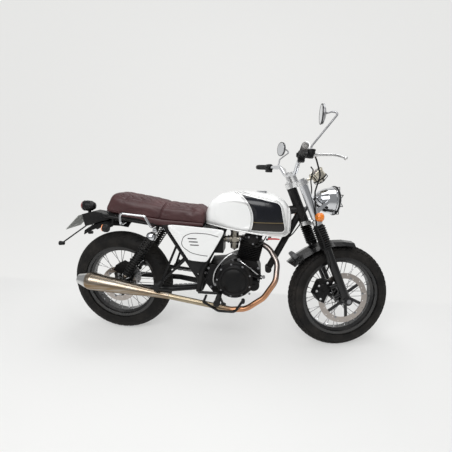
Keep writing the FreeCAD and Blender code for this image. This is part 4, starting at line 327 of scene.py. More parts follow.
def addOperator(word, operation):
    # an operator with the wire before its sign, and the same with the wire after it
    setattr(Wire, f"__{word}__", lambda wire, other: wire.paint.math(operation, wire, other))
    setattr(Wire, f"__r{word}__", lambda wire, other: wire.paint.math(operation, other, wire))


for word, operation in (("add", "ADD"), ("sub", "SUBTRACT"), ("mul", "MULTIPLY"), ("pow", "POWER")):
    addOperator(word, operation)


socketNames = {
    "base": "Base Color", "coat": "Coat Weight", "coatRoughness": "Coat Roughness",
    "specular": "Specular IOR Level", "transmission": "Transmission Weight", "ior": "IOR",
}


class Paint:
    # one material: its nodes are added by add(), and its shader's sockets are fed by give()
    def __init__(self, name):
        self.material = bpy.data.materials.new(name)
        self.material.use_nodes = True
        self.tree = self.material.node_tree
        self.shader = self.tree.nodes["Principled BSDF"]

    def feed(self, socket, value):
        # a wire is linked, a number is set
        if isinstance(value, Wire):
            self.tree.links.new(value.socket, socket)
        else:
            socket.default_value = value

    def add(self, kind, settings=None, values=None, output=0):
        # a node with its settings and inputs, as a wire from one of its outputs
        node = self.tree.nodes.new(kind)
        for key, value in (settings or {}).items():
            setattr(node, key, value)
        for key, value in (values or {}).items():
            self.feed(node.inputs[key], value)
        return Wire(self, node.outputs[output])

    def math(self, operation, first, second=0.0):
        # one Math node
        return self.add("ShaderNodeMath", {"operation": operation}, {0: first, 1: second})

    def give(self, **sockets):
        # the shader's sockets, by short words for their names
        for word, value in sockets.items():
            self.feed(self.shader.inputs[socketNames.get(word, word.capitalize())], value)
        return self.material

    def place(self):
        # where a point is on its own object
        return self.add("ShaderNodeTexCoord", output="Object")

    def moved(self, place, scale):
        # a place multiplied by a scale for each axis
        return self.add("ShaderNodeMapping", {"vector_type": "POINT"}, {"Vector": place, "Scale": scale})

    def noise(self, place, scale, detail=3.0, roughness=0.55):
        # clouds, about 0.5
        values = {"Vector": place, "Scale": scale, "Detail": detail, "Roughness": roughness}
        return self.add("ShaderNodeTexNoise", values=values)

    def cells(self, place, scale):
        # the distance to the nearest of the points strewn in space
        values = {"Vector": place, "Scale": scale, "Randomness": 1.0}
        return self.add("ShaderNodeTexVoronoi", {"feature": "F1"}, values, "Distance")

    def vector(self, operation, first, second=(0, 0, 0), output=0):
        # one Vector Math node
        return self.add("ShaderNodeVectorMath", {"operation": operation}, {0: first, 1: second}, output)

    def part(self, vector, index):
        # x, y or z of a vector
        return self.add("ShaderNodeSeparateXYZ", values={0: vector}, output=index)

    def along(self, place, start, direction):
        # the distance of a point from start, measured along a direction
        offset = self.vector("SUBTRACT", place, tuple(start))
        return self.vector("DOT_PRODUCT", offset, tuple(direction), "Value")

    def fromAxis(self, place, centre, axis):
        # the distance of a point from a line: the length of its offset crossed with the unit axis
        offset = self.vector("SUBTRACT", place, tuple(centre))
        return self.vector("LENGTH", self.vector("CROSS_PRODUCT", offset, tuple(axis)), output="Value")

    def step(self, value, low, high):
        # 0 below low, 1 above high, eased in between
        values = {"Value": value, "From Min": low, "From Max": high}
        return self.add("ShaderNodeMapRange", {"interpolation_type": "SMOOTHSTEP", "clamp": True}, values)

    def past(self, value, mark, soft):
        # 0 before a mark and 1 past it, with a soft edge
        return self.step(value, mark - soft, mark + soft)

    def mix(self, factor, first, second):
        # colours a and b sit in sockets 6 and 7 of the Mix node, and its colour leaves by output 2
        first, second = (c if isinstance(c, Wire) else (*c, 1) for c in (first, second))
        return self.add("ShaderNodeMix", {"data_type": "RGBA"}, {0: factor, 6: first, 7: second}, 2)

    def bump(self, height, distance, strength, under=None):
        # a normal that leans as the height does, over another one if that is given
        values = {"Height": height, "Distance": distance, "Strength": strength}
        if under is not None:
            values["Normal"] = under
        return self.add("ShaderNodeBump", values=values)


# finishes

def bikePlace(p, place, *axes):
    # how far a point is from the bike's origin along each of the axes asked for
    return [p.along(place, originOfBike, axis) for axis in axes]


tankFieldSizes = {
    "back": (0.640, 0.750, 0.168),              # the round rear edge: its centre and radius
    "top": (0.737, 0.888, 0.205, 0.979),        # a point on an edge, and the way out of the field
    "front": (0.966, 0.768, 0.977, 0.214),
    "bottom": (0.890, 0.692, -0.022, -1.0),
    "corner": 0.024, "soft": 0.0004,
    "stripes": (0.0045, 0.0065, 0.0100, 0.0120),
    "band": (0.741, 0.0022),                    # the gold band's height and half its width
}


def whitePaint(name, withField=False):
    # gloss white with a faint cloudiness under a clear coat
    p = Paint(name)
    place = p.place()
    cloud = p.noise(place, 5.0, 4)
    base = p.mix(cloud, (0.83, 0.835, 0.825), (0.87, 0.872, 0.865))
    rough, gloss = 0.30 + cloud * 0.08, 1.0
    if withField:
        base, rough, gloss = tankField(p, place, base, rough)
    return p.give(base=base, roughness=rough, coat=gloss, coatRoughness=0.03, specular=0.3,
                  normal=p.bump(p.noise(place, 420.0, 2), 0.0002, 0.05))


def tankField(p, place, base, rough):
    # the tank side's black field: a point's distance out of it is the greatest of its distances past the
    # four edges, rounded at the corners, and the two thin lines lie at steps of that distance
    sizes = tankFieldSizes
    ahead, left, up = bikePlace(p, place, *axesOfBike)

    def outOf(edge):
        # the distance past a straight edge
        x, z, outX, outZ = sizes[edge]
        return (ahead - x) * outX + (up - z) * outZ

    def most(first, second):
        # the greater of two values
        return p.math("MAXIMUM", first, second)

    x, z, radius = sizes["back"]
    backEdge = radius - (((ahead - x) ** 2.0 + (up - z) ** 2.0) ** 0.5)
    corner, soft = sizes["corner"], sizes["soft"]
    first = most(most(outOf("top"), outOf("bottom")) + corner, 0.0)
    second = most(outOf("front") + corner, 0.0)
    outside = most((first ** 2.0 + second ** 2.0) ** 0.5 - corner, backEdge)
    onSide = p.step(left.did("ABSOLUTE"), 0.050, 0.052)
    black = (1.0 - p.past(outside, 0.0, soft)) * onSide
    a, b, c, d = (p.past(outside, edge, soft) for edge in sizes["stripes"])
    lines = (a - b + c - d) * onSide
    high, half = sizes["band"]
    gold = 1.0 - p.step((up - high).did("ABSOLUTE"), half * 0.7, half)
    warm = 1.0 - p.step(up, high - 0.004, high)
    field = p.mix(warm, (0.0035, 0.0042, 0.0075), (0.009, 0.006, 0.0045))
    field = p.mix(gold * 0.8, field, (0.20, 0.15, 0.07))
    base = p.mix(black, p.mix(lines, base, (0.012, 0.012, 0.013)), field)
    return base, rough - black * 0.12, 1.0 - black * 0.75


def worn(name, cloud, marks, share, colours, rough, grain=None, scratches=0, **sockets):
    # clouds, drawn out between two marks, mix in a share of the second colour and add to the roughness;
    # a fine grain is pressed in, and scratches lift the roughness along one direction
    p = Paint(name)
    place = p.place()
    tone = p.noise(place, *cloud)
    if marks:
        tone = p.step(tone, *marks)
    roughness = rough[0] + tone * rough[1]
    if scratches:
        roughness = roughness + p.noise(p.moved(place, (40, 400, 40)), 3.0, 3) * scratches
    if grain:
        kind, measure, depth, strength = grain
        sockets["normal"] = p.bump(getattr(p, kind)(place, *measure), depth, strength)
    return p.give(base=p.mix(tone * share, *colours), roughness=roughness, **sockets)


def chrome(name, tint=(0.66, 0.67, 0.69), rough=0.07):
    # polished plate with smudges that dull it
    return worn(name, (26.0, 7, 0.6), (0.45, 0.8), 0.4, (tint, tuple(c * 0.72 for c in tint)), (rough, 0.16),
                ("noise", (160.0, 3), 0.0003, 0.05), metallic=1.0)


def castAlloy(name, tint, rough):
    # bare alloy, clouded by grime and grainy from its mould
    return worn(name, (22.0, 6), (0.35, 0.75), 0.6, (tint, tuple(c * 0.5 for c in tint)), (rough, 0.18),
                ("noise", (700.0, 3), 0.0005, 0.22), metallic=1.0)


def blackPaint(name, rough, coat, dust):
    # black paint with dust settled in clouds and fine scratches
    return worn(name, (9.0, 6), (0.42, 0.75), dust, ((0.0030, 0.0030, 0.0034), (0.022, 0.020, 0.018)),
                (rough, 0.2), ("noise", (300.0, 3), 0.0003, 0.12), 0.08, coat=coat, specular=0.25,
                coatRoughness=0.08)


def flatTrim(name, light, dark, rough):
    # a small moulding: two near tones in fine clouds, and a faint grain
    return worn(name, (90.0, 5), None, 1.0, (light, dark), (rough, 0.15), ("cells", (1200.0,), 0.0002, 0.15))


def headerFinish():
    # the pipe is grey where it leaves the head, copper down its front and round the low bend, straw behind
    p = Paint("headerFinish")
    place = p.place()
    ahead, up = bikePlace(p, place, bikeAhead, bikeUp)
    cloud = p.noise(place, 14.0, 7, 0.6)
    heat = p.step(up + cloud * 0.08, 0.52, 0.40)
    rear = p.step(ahead + cloud * 0.1, 0.80, 0.66)
    grey = p.mix(cloud, (0.23, 0.19, 0.17), (0.40, 0.36, 0.34))
    copper = p.mix(cloud, (0.42, 0.17, 0.075), (0.66, 0.37, 0.22))
    straw = p.mix(cloud, (0.22, 0.18, 0.12), (0.50, 0.42, 0.30))
    return p.give(base=p.mix(rear, p.mix(heat, grey, copper), straw), metallic=1.0,
                  roughness=0.22 + p.noise(place, 60.0, 5) * 0.2,
                  normal=p.bump(p.noise(place, 500.0, 3), 0.0003, 0.1))


def silencerFinish():
    # brushed steel along the cone, with straw and brown streaks and a paler end
    p = Paint("silencerFinish")
    place = p.place()
    ahead, up = bikePlace(p, place, bikeAhead, bikeUp)
    streak = p.noise(p.moved(place, (3.5, 60, 60)), 1.0, 6, 0.6)
    fine = p.noise(p.moved(place, (12, 900, 900)), 1.0, 3)
    low = p.step(up + ahead * 0.13, 0.385, 0.335)
    warm = p.step(streak, 0.34, 0.60) * (0.45 + low * 0.55)
    base = p.mix(warm, p.mix(fine, (0.30, 0.27, 0.235), (0.46, 0.43, 0.38)), (0.24, 0.145, 0.06))
    base = p.mix(p.step(ahead, -0.128, -0.134), base, (0.66, 0.66, 0.65))
    return p.give(base=base, metallic=1.0, roughness=0.24 + fine * 0.14, normal=p.bump(fine, 0.0002, 0.12))


def lensPaint(name, light, dark, ribs=900.0):
    # a moulded lens: a coloured body under a clear face, with fine ribs pressed in it
    p = Paint(name)
    place = p.place()
    wave = (p.part(place, 2) * ribs).did("SINE")
    cloud = p.noise(place, 60.0, 3)
    return p.give(base=p.mix(cloud, light, dark), roughness=0.2 + cloud * 0.1, coat=0.8, coatRoughness=0.05,
                  normal=p.bump(wave, 0.0006, 0.3))


def maroonLeather():
    # a pebble grain, with the colour rubbed paler in clouds, over long creases
    p = Paint("maroonLeather")
    place = p.place()
    tone = p.noise(place, 6.0, 6, 0.6)
    grain = p.cells(place, 560.0)
    crease = p.noise(p.moved(place, (30, 80, 30)), 1.0, 5)
    base = p.mix(p.step(tone, 0.3, 0.75), (0.056, 0.0175, 0.0185), (0.100, 0.036, 0.037))
    base = p.mix(p.step(grain, 0.0, 0.25) * 0.25, p.mix(0.35, base, (0.02, 0.006, 0.006)), base)
    return p.give(base=base, roughness=0.40 + tone * 0.2,
                  normal=p.bump(grain, 0.0005, 0.35, p.bump(crease, 0.002, 0.12)))


wheelFinishSizes = {"rimFrom": 0.190, "hubTo": 0.049, "sprocket": (0.055, 0.058)}


def wheelFinish(name, hub, axis):
    # by the distance from the axle: a dark hub, bright spokes and sprocket, a black rim
    p = Paint(name)
    place = p.place()
    sizes = wheelFinishSizes
    away = p.fromAxis(place, hub, axis)
    rim = p.past(away, sizes["rimFrom"], 0.001)
    hubPart = 1.0 - p.past(away, sizes["hubTo"], 0.001)
    chainSide = p.step(p.along(place, hub, axis), *sizes["sprocket"])
    painted = p.math("MAXIMUM", rim, hubPart) * (1.0 - chainSide * (1.0 - rim))
    dust = p.step(p.noise(place, 16.0, 6), 0.4, 0.8)
    black = p.mix(dust * 0.6, (0.005, 0.005, 0.0055), (0.032, 0.028, 0.024))
    steel = p.mix(dust, (0.56, 0.56, 0.57), (0.30, 0.29, 0.28))
    return p.give(base=p.mix(painted, steel, black), metallic=1.0 - painted, roughness=0.26 + dust * 0.22,
                  coat=painted * 0.5, normal=p.bump(p.noise(place, 400.0, 3), 0.0003, 0.1))


def discFinish(name, hub, axis, band):
    # a worn steel band with rings turned in it, on a black carrier
    p = Paint(name)
    place = p.place()
    away = p.fromAxis(place, hub, axis)
    onBand = p.past(away, band, 0.0005)
    rings = p.noise(p.add("ShaderNodeCombineXYZ", values={0: away * 900.0}), 1.0, 4)
    steel = p.mix(rings, (0.40, 0.36, 0.33), (0.62, 0.59, 0.56))
    steel = p.mix(p.noise(place, 30.0, 5) * 0.5, steel, (0.36, 0.29, 0.25))
    return p.give(base=p.mix(onBand, (0.007, 0.007, 0.0075), steel), metallic=onBand,
                  roughness=0.28 + rings * 0.12, normal=p.bump(rings, 0.0002, 0.15))


white = whitePaint("gloss_white")
tankWhite = whitePaint("tankWhite", withField=True)
glossBlack = blackPaint("glossBlack", 0.18, 0.35, 0.2)
satinBlack = blackPaint("satinBlack", 0.40, 0.1, 0.5)
brightChrome = chrome("brightChrome")
warmChrome = chrome("warmChrome", (0.70, 0.65, 0.54), 0.10)
polishedAlloy = castAlloy("polishedAlloy", (0.74, 0.74, 0.74), 0.22)
dullAlloy = castAlloy("dullAlloy", (0.44, 0.41, 0.35), 0.38)
zincSteel = castAlloy("zincSteel", (0.33, 0.33, 0.34), 0.32)
darkSteel = castAlloy("darkSteel", (0.13, 0.127, 0.123), 0.42)
# black enamel over rough castings, with brown dust settled in clouds
engineBlack = worn("castBlack", (14.0, 8), (0.38, 0.8), 0.4,
                   ((0.0032, 0.0032, 0.0036), (0.020, 0.017, 0.014)), (0.40, 0.3),
                   ("noise", (900.0, 4), 0.0006, 0.25), specular=0.22)
# black rubber gone grey-brown with dust
tyreBlack = worn("tyreRubber", (12.0, 8, 0.65), (0.35, 0.8), 1.0,
                 ((0.0070, 0.0066, 0.0064), (0.028, 0.025, 0.022)), (0.66, 0.2),
                 ("noise", (600.0, 4), 0.0005, 0.3), specular=0.2)
rubberBlack = worn("softRubber", (20.0, 6), (0.4, 0.8), 0.5,
                   ((0.0048, 0.0048, 0.0050), (0.022, 0.020, 0.019)), (0.5, 0.25),
                   ("noise", (500.0, 4), 0.0004, 0.25), specular=0.3)
plasticBlack = worn("mouldedPlastic", (16.0, 6), (0.4, 0.85), 0.5,
                    ((0.0045, 0.0045, 0.0050), (0.022, 0.020, 0.019)), (0.42, 0.2),
                    ("cells", (900.0,), 0.0004, 0.2), specular=0.3)
plateGrey = worn("blankPlate", (18.0, 6), (0.35, 0.8), 1.0, ((0.30, 0.31, 0.29), (0.20, 0.20, 0.18)),
                 (0.45, 0.2), ("cells", (700.0,), 0.0002, 0.1))
glass = worn("clearGlass", (30.0, 5), None, 1.0, ((0.96, 0.97, 0.98), (0.90, 0.92, 0.93)), (0.02, 0.05),
             transmission=0.9, ior=1.45, alpha=0.35)
amber = lensPaint("amber", (0.86, 0.25, 0.012), (0.72, 0.17, 0.008))
redLens = lensPaint("redLens", (0.42, 0.010, 0.008), (0.26, 0.006, 0.005))
redPaint = lensPaint("redPaint", (0.55, 0.012, 0.010), (0.40, 0.010, 0.010), 10.0)
bulbGlass = lensPaint("bulbGlass", (0.85, 0.84, 0.78), (0.70, 0.69, 0.62), 20.0)
leather = maroonLeather()
greyPlastic = flatTrim("greyPlastic", (0.085, 0.085, 0.088), (0.13, 0.13, 0.13), 0.5)
darkTrim = flatTrim("darkTrim", (0.006, 0.006, 0.007), (0.012, 0.012, 0.013), 0.45)
paleTrim = flatTrim("paleTrim", (0.70, 0.71, 0.70), (0.60, 0.61, 0.60), 0.5)

# each finish, the nodes that wear it, and its slot
finishes = [
    (satinBlack, "frame seat_rails swingarm rear_shocks footrests foot_controls lamp_guards side_stand",
     "gloss_black"),
    (glossBlack, "fork_sliders front_mudguard", "gloss_black"),
    (white, "side_panels", "white_paint"),
    (tankWhite, "fuel_tank", "white_paint"),
    (zincSteel, "rear_axle chain mirrors front_axle", "steel"),
    (darkSteel, "", "steel"),
    (plasticBlack, "seat_base airbox rear_mudguard tail_light rear_indicators rear_reflectors chain_guard"
     " hand_controls", "black_plastic"),
    (darkTrim, "", "black_plastic"),
    (paleTrim, "", "white_paint"),
    (greyPlastic, "", "lamp_black"),
    (leather, "seat_pad", "leather"),
    (brightChrome, "fuel_cap grab_rails fork_tubes handlebar headlight", "chrome"),
    (warmChrome, "instrument", "chrome"),
    (polishedAlloy, "yokes", "cast_alloy"),
    (dullAlloy, "carburettor", "cast_alloy"),
    (engineBlack, "crankcase cylinder cylinder_head rear_caliper front_caliper", "engine_black"),
    (rubberBlack, "control_cables fork_gaiters grips brake_hose", "rubber"),
    (tyreBlack, "front_tyre rear_tyre", "tyre"),
    (glass, "headlight_lens", "glass"),
    (bulbGlass, "", "glass"),
    (redLens, "", "glass"),
    (redPaint, "", "amber"),
    (amber, "front_indicators", "amber"),
    (plateGrey, "number_plate", "plate"),
    (headerFinish(), "exhaust_header", "heated_steel"),
    (silencerFinish(), "muffler", "brushed_muffler"),
    (wheelFinish("frontWheelFinish", frontHub, frontAxis), "front_wheel", "black_rim"),
    (wheelFinish("rearWheelFinish", rearHub, rearAxis), "rear_wheel", "black_rim"),
    (discFinish("frontDiscFinish", frontHub, frontAxis, 0.1125), "front_disc", "disc_steel"),
    (discFinish("rearDiscFinish", rearHub, rearAxis, 0.0775), "rear_disc", "disc_steel"),
]


def dress(node, finish):
    # a carried-over node takes its finish in its own slots
    piece = frame["nodes"][node]
    if not piece.material_slots:
        piece.data.materials.append(finish)
    for slot in piece.material_slots:
        slot.material = finish


for finish, nodes, slot in finishes:
    for node in nodes.split():
        dress(node, finish)
print("finishes given")


# tyres, spoke nipples, disc bolts

tyreSizes = {
    "around": 900, "bead": 0.2307, "cavity": 0.048, "well": 0.219, "step": 0.0125,
    "rear": {"radius": 0.316, "section": 0.061, "half": 0.057, "depth": 0.0040},
    "front": {"radius": 0.301, "section": 0.053, "half": 0.051, "depth": 0.0045},
}


def within(value, half, soft):
    # 1 inside a band about zero, falling to 0 over its soft edge
    return np.clip((half - np.abs(value)) / soft + 0.5, 0, 1)


def wave(value):
    # how far a value is from the nearest whole number
    return np.abs(value - np.round(value))


def rearTread(turn, arc):
    # two grooves round the middle and slanted ones from each shoulder
    rings = within(np.abs(arc) - 0.13, 0.045, 0.02)
    slant = turn * 46 / (2 * np.pi) + np.abs(arc) * 1.1 + np.where(arc > 0, 0.5, 0)
    cross = within(wave(slant), 0.10, 0.06) * within(np.abs(arc) - 0.66, 0.36, 0.06)
    return np.maximum(rings, cross)


def frontTread(turn, arc):
    # rows of blocks, each row half a block on from the last, cut off by grooves
    edges = np.array([0.20, 0.60, 1.02])
    rings = np.max([within(np.abs(arc) - edge, 0.045, 0.03) for edge in edges], axis=0)
    row = np.digitize(np.abs(arc), edges)
    slant = turn * 62 / (2 * np.pi) + row * 0.5 + np.abs(arc) * 0.35
    return np.maximum(rings, within(wave(slant), 0.15, 0.07)) * within(arc, 1.08, 0.05)


def makeTyre(side, hub, axis, tread):
    # a section carried round the axle: an arc of the tread's circle from bead to bead, then an arc of the
    # cavity; the tread's grooves are taken off along the arc's own radius
    sizes = tyreSizes[side]
    turn = wholeTurn(tyreSizes["around"])[:, None]
    arc = np.radians(np.linspace(-99, 99, 59))[None]
    middle = sizes["radius"] - sizes["section"]
    ridge = 0.0009 * within(np.abs(arc) - 1.36, 0.03, 0.03) - 0.0006 * within(np.abs(arc) - 1.22, 0.03, 0.03)
    reach = sizes["section"] - (sizes["depth"] * tread(turn, arc) - ridge)
    bead, well, step, half = tyreSizes["bead"], tyreSizes["well"], tyreSizes["step"], sizes["half"]
    foot = [(bead, half), (bead, half - step), (well, half - step), (well, half - 2 * step)]
    inner = np.radians(np.linspace(72, -72, 11))
    cavity = tyreSizes["cavity"] * sizes["section"] / tyreSizes["rear"]["section"]
    closing = foot + list(zip(middle + cavity * np.cos(inner), cavity * np.sin(inner)))
    closing = np.array(closing + [(r, -h) for r, h in reversed(foot)])
    shape = (len(turn), len(closing))
    away = np.concatenate([middle + reach * np.cos(arc), np.broadcast_to(closing[:, 0], shape)], 1)[..., None]
    across = np.concatenate([reach * np.sin(arc), np.broadcast_to(closing[:, 1], shape)], 1)[..., None]
    first, second = squareTo(axis)
    points = hub + away * (np.cos(turn)[..., None] * first + np.sin(turn)[..., None] * second) + across * axis
    makePiece(f"{side}_tyre_tread", [(points, True, True)], tyreBlack, f"{side}_wheel", [f"{side}_tyre"],
              sharp=50)


nippleSizes = {"count": 36, "seat": 0.2008, "length": 0.013, "radius": 0.0032, "hubRadius": 0.040,
               "hubHalf": 0.030, "sweep": 38}


def makeNipples(side, hub, axis, axes, half):
    # a small cone on the rim's end of every spoke, pointing at the spoke's foot on the hub's flange
    sizes = nippleSizes
    index = np.arange(sizes["count"])
    rimTurn = 2 * np.pi * (index + 0.5) / sizes["count"]
    hubTurn = rimTurn + np.radians(sizes["sweep"]) * np.where(index % 4 < 2, 1, -1)
    toLeft = np.where(index % 2 == 0, 1, -1)[:, None]

    def spot(turn, radius, across):
        # a point on a circle about the axle
        outward = np.cos(turn)[:, None] * axes[0] - np.sin(turn)[:, None] * axes[2]
        return hub + radius * outward + across * axis

    head = spot(rimTurn, sizes["seat"], toLeft * half / 4)
    foot = spot(hubTurn, sizes["hubRadius"], toLeft * sizes["hubHalf"])
    r, length = sizes["radius"], sizes["length"]
    profile = [(-0.002, 0), (-0.002, r * 1.2), (0.003, r * 1.2), (0.004, r), (length, r * 0.75), (length, 0)]
    makePiece(f"{side}_spoke_nipples", [lathe(profile, head, foot - head, 8)], brightChrome, f"{side}_wheel")


discBoltSizes = {"collar": 0.036, "count": 6, "radius": 0.0048, "height": 0.004, "lift": 0.002, "shift": 0.33}


def makeDiscBolts(side, hub, axis, offset, armRadius):
    # one bolt on the collar and one button on the band, for each of the carrier's arms
    sizes = discBoltSizes
    first, second = squareTo(axis)
    turn = np.arange(sizes["count"])[:, None] * 2 * np.pi / sizes["count"]
    face = hub - axis * (offset + sizes["lift"])

    def circle(radius, shift):
        # a point for each arm, at a radius and an angle on from the arm
        return face + radius * (np.cos(turn + shift) * first + np.sin(turn + shift) * second)

    r = sizes["radius"]
    button = [(-0.001, 0), (-0.001, r * 1.5), (0.001, r * 1.5), (0.0022, r * 1.1), (0.0022, 0)]
    centres = circle(armRadius, sizes["shift"])
    heads = bolts(circle(sizes["collar"], 0), -axis, r, sizes["height"])
    buttons = lathe(button, centres, np.broadcast_to(-axis, centres.shape), 16)
    makePiece(f"{side}_disc_bolts", [heads, buttons], zincSteel, f"{side}_wheel")


makeTyre("rear", rearHub, rearAxis, rearTread)
makeTyre("front", frontHub, frontAxis, frontTread)
makeNipples("rear", rearHub, rearAxis, axesOfBike, 0.044)
makeNipples("front", frontHub, frontAxis, forkAxes, 0.038)
makeDiscBolts("front", frontHub, frontAxis, 0.066, 0.119)
makeDiscBolts("rear", rearHub, rearAxis, 0.074, 0.084)
print("wheels dressed")


# the tank: a wall with a rolled lip, open underneath as the real one is over its frame tube

tankSizes = {
    "rear": 0.538, "front": 1.014, "low": 0.666, "rise": 0.234, "half": 0.138, "square": 3.2,
    "lipAngle": -54,        # where the section's curve ends at the lip, in degrees
    "lipTop": 62, "lipRadius": 0.0050, "lipFront": 0.972, "wall": 0.955,
    "kneeCentre": (0.692, 0.770), "kneeReach": (0.122, 0.083), "kneeOut": 0.116, "kneeSoft": 0.0022,
    "kneePower": 2.4, "endLength": 0.0035,
    "stations": ((0.0, 0.18, 0.52, 0.44), (0.03, 0.17, 0.66, 0.62), (0.12, 0.13, 0.86, 0.80),
                 (0.28, 0.06, 0.97, 0.92), (0.50, -0.01, 1.00, 0.98), (0.70, -0.06, 0.97, 1.00),
                 (0.86, -0.075, 0.88, 0.94), (0.95, -0.04, 0.74, 0.82), (1.0, 0.05, 0.56, 0.60)),
}


def between(stations, share):
    # a smooth curve through each column of a table, at the shares asked for
    stations = np.array(stations)
    slope = np.gradient(stations[:, 1:], stations[:, 0], axis=0)
    index = np.clip(np.searchsorted(stations[:, 0], share) - 1, 0, len(stations) - 2)
    width = stations[index + 1, 0] - stations[index, 0]
    s = ((share - stations[index, 0]) / width)[:, None]
    w = width[:, None]
    return ((2 * s ** 3 - 3 * s ** 2 + 1) * stations[index, 1:] + (s ** 3 - 2 * s ** 2 + s) * w * slope[index]
            + (3 * s ** 2 - 2 * s ** 3) * stations[index + 1, 1:] + (s ** 3 - s ** 2) * w * slope[index + 1])


def tankPoint(share, angle, grow=1.0):
    # a superellipse about the station's middle; its half width is held in by the knee's hollow, with a
    # soft corner where the two meet
    sizes = tankSizes
    low, high, wide = between(sizes["stations"], share).T
    middle = (sizes["low"] + (low + high) / 2 * sizes["rise"])[:, None]
    height = ((high - low) / 2 * sizes["rise"])[:, None]
    power = 2 / sizes["square"]
    y = bulge(np.cos(angle), power) * (wide * sizes["half"])[:, None]
    z = middle + bulge(np.sin(angle), power) * height
    x = np.broadcast_to((sizes["rear"] + share * (sizes["front"] - sizes["rear"]))[:, None], y.shape)
    kneeX, kneeZ = sizes["kneeCentre"]
    reachX, reachZ = sizes["kneeReach"]
    knee = sizes["kneePower"]
    away = (np.abs((x - kneeX) / reachX) ** knee + np.abs((z - kneeZ) / reachZ) ** knee) ** (1 / knee)
    hold = sizes["kneeOut"] + 0.045 * np.clip((away - 0.90) / 0.32, 0, 1) ** 1.3
    soft = sizes["kneeSoft"]
    held = -soft * np.log(np.exp(-np.abs(y) / soft) + np.exp(-hold / soft))
    y = np.sign(y) * np.where(np.abs(y) > 0.06, held, np.abs(y))
    return np.stack([x, y * grow, middle + (z - middle) * grow], -1)


def makeTank():
    # the skin runs round the outer sections and back along the inner ones, both ends draw in to a point over
    # four more rows, and the lip is a bead along both lower edges and one up the front of each side
    sizes = tankSizes
    share = (1 - np.cos(np.linspace(0, np.pi, 121))) / 2
    share = share * 0.4 + np.linspace(0, 1, 121) * 0.6
    lip = np.radians(sizes["lipAngle"])
    angle = np.linspace(lip, np.pi - lip, 181)[None]
    outer = tankPoint(share, angle)
    skin = np.concatenate([outer, tankPoint(share, angle[:, ::-1], sizes["wall"])], axis=1)
    ends = []
    for row, step in ((0, -1), (-1, 1)):
        centre = np.array([skin[row, 0, 0], 0, skin[row, :, 2].mean()])
        scale = np.array([0.97, 0.86, 0.55, 0.0])[:, None, None]
        out = np.array([0.2, 0.6, 1.0, 1.0])[:, None, None] * np.array([sizes["endLength"] * step, 0, 0])
        ends.append(centre + (skin[row][None] - centre) * scale + out)
    skin = np.concatenate([ends[0][::-1], skin, ends[1]])
    makePiece("tank_skin", [(onBike(skin), False, True)], tankWhite, replaces=["fuel_tank"], sharp=50)
    edge = outer[:, 0] + np.array([0, 0.0015, 0])
    rise = np.radians(np.linspace(sizes["lipAngle"], sizes["lipTop"], 30))[None]
    front = tankPoint(np.full(1, sizes["lipFront"]), rise)[0]
    beads = [pipe(onBike(line * [1, side, 1]), sizes["lipRadius"] * thick, 10)
             for line, thick in ((edge[2:-2:2], 1), (front, 0.8)) for side in (1, -1)]
    makePiece("tank_lip", beads, white)


makeTank()
print("tank made")


# the seat: a cushion in two steps, swelled by simulation, then sewn

seatSizes = {
    "front": 0.535, "rear": -0.066, "half": 0.107, "thickness": 0.105, "square": 3.4,
    "base": 0.0085, "railRadius": 0.011,
    "rails": ((-0.060, 0.740), (0.300, 0.694), (0.640, 0.676)),
    "stations": ((0.0, 0.66, 0.72), (0.03, 0.92, 0.82), (0.08, 1.08, 0.90), (0.14, 1.11, 0.95),
                 (0.25, 1.10, 1.0), (0.38, 1.08, 1.0), (0.48, 1.06, 1.0), (0.56, 1.02, 1.0),
                 (0.63, 0.975, 1.0), (0.70, 0.945, 1.0), (0.86, 0.91, 0.985), (0.97, 0.90, 0.985),
                 (1.0, 0.80, 0.94)),
    "slant": 0.042, "foot": 7.0,
    "hem": ((0.040, -0.001), (0.150, 0.001), (0.235, -0.012), (0.262, -0.018), (0.330, -0.008),
            (0.420, -0.004), (0.528, 0.001)),
    "hemOut": (0.1042, 0.1078), "hemTop": 0.018, "hemSoft": 0.0012,
    "voxel": 0.005, "pressure": 4.0, "frames": 20, "cap": 0.007,
    "step": ((0.312, 0.841), (0.266, 0.716)),       # the seam between both steps, its top and its foot
    "quilt": (0.058, 0.050), "quiltHalf": 0.078, "quiltEnds": (0.035, 0.508), "quiltSoft": 0.006,
    "quiltNarrow": ((-0.02, 0.06, 0.40, 0.52), (0.80, 1.0, 1.0, 0.88)), "quiltSlope": 0.65,
    "puff": 0.0016, "puffWidth": 0.018,
    # each seam's depth and width: a diamond's, the border's, the step's and the one at the foot
    "seams": ((0.0028, 0.0034), (0.0030, 0.003), (0.0060, 0.0042), (0.0022, 0.0030)),
    "borderOut": 0.004, "footSeam": 0.016, "clear": 0.0006,
}


def railTop(x):
    # the height that the cushion rests on, by how far forward it is
    rails = np.array(seatSizes["rails"])
    return np.interp(x, rails[:, 0], rails[:, 1]) + seatSizes["railRadius"] + seatSizes["base"]


def seatStart():
    # superellipse sections on the rails, drawn in at both ends
    sizes = seatSizes
    share = np.linspace(0, 1, 90)
    thick, wide = between(sizes["stations"], share).T
    x = sizes["rear"] + share * (sizes["front"] - sizes["rear"])
    height = (thick * sizes["thickness"] / 2)[:, None]
    turn = wholeTurn(72)[None]
    power = np.where(np.sin(turn) < 0, 2 / sizes["foot"], 2 / sizes["square"])
    y = bulge(np.cos(turn), power) * (wide * sizes["half"])[:, None]
    z = bulge(np.sin(turn), power) * height
    lean = sizes["slant"] * np.clip(1 - share / 0.14, 0, 1)[:, None] * (z / height + 1) / 2
    middle = railTop(x)[:, None] + 0.002 + height
    skin = np.stack([x[:, None] + lean, y, middle + z], -1)
    ends = []
    for row in (0, -1):
        centre = np.array([skin[row, :, 0].mean(), 0, middle[row, 0]])
        ends.append(centre + (skin[row][None] - centre) * np.array([0.9, 0.5, 0.0])[:, None, None])
    return np.concatenate([ends[0][::-1], skin, ends[1]])


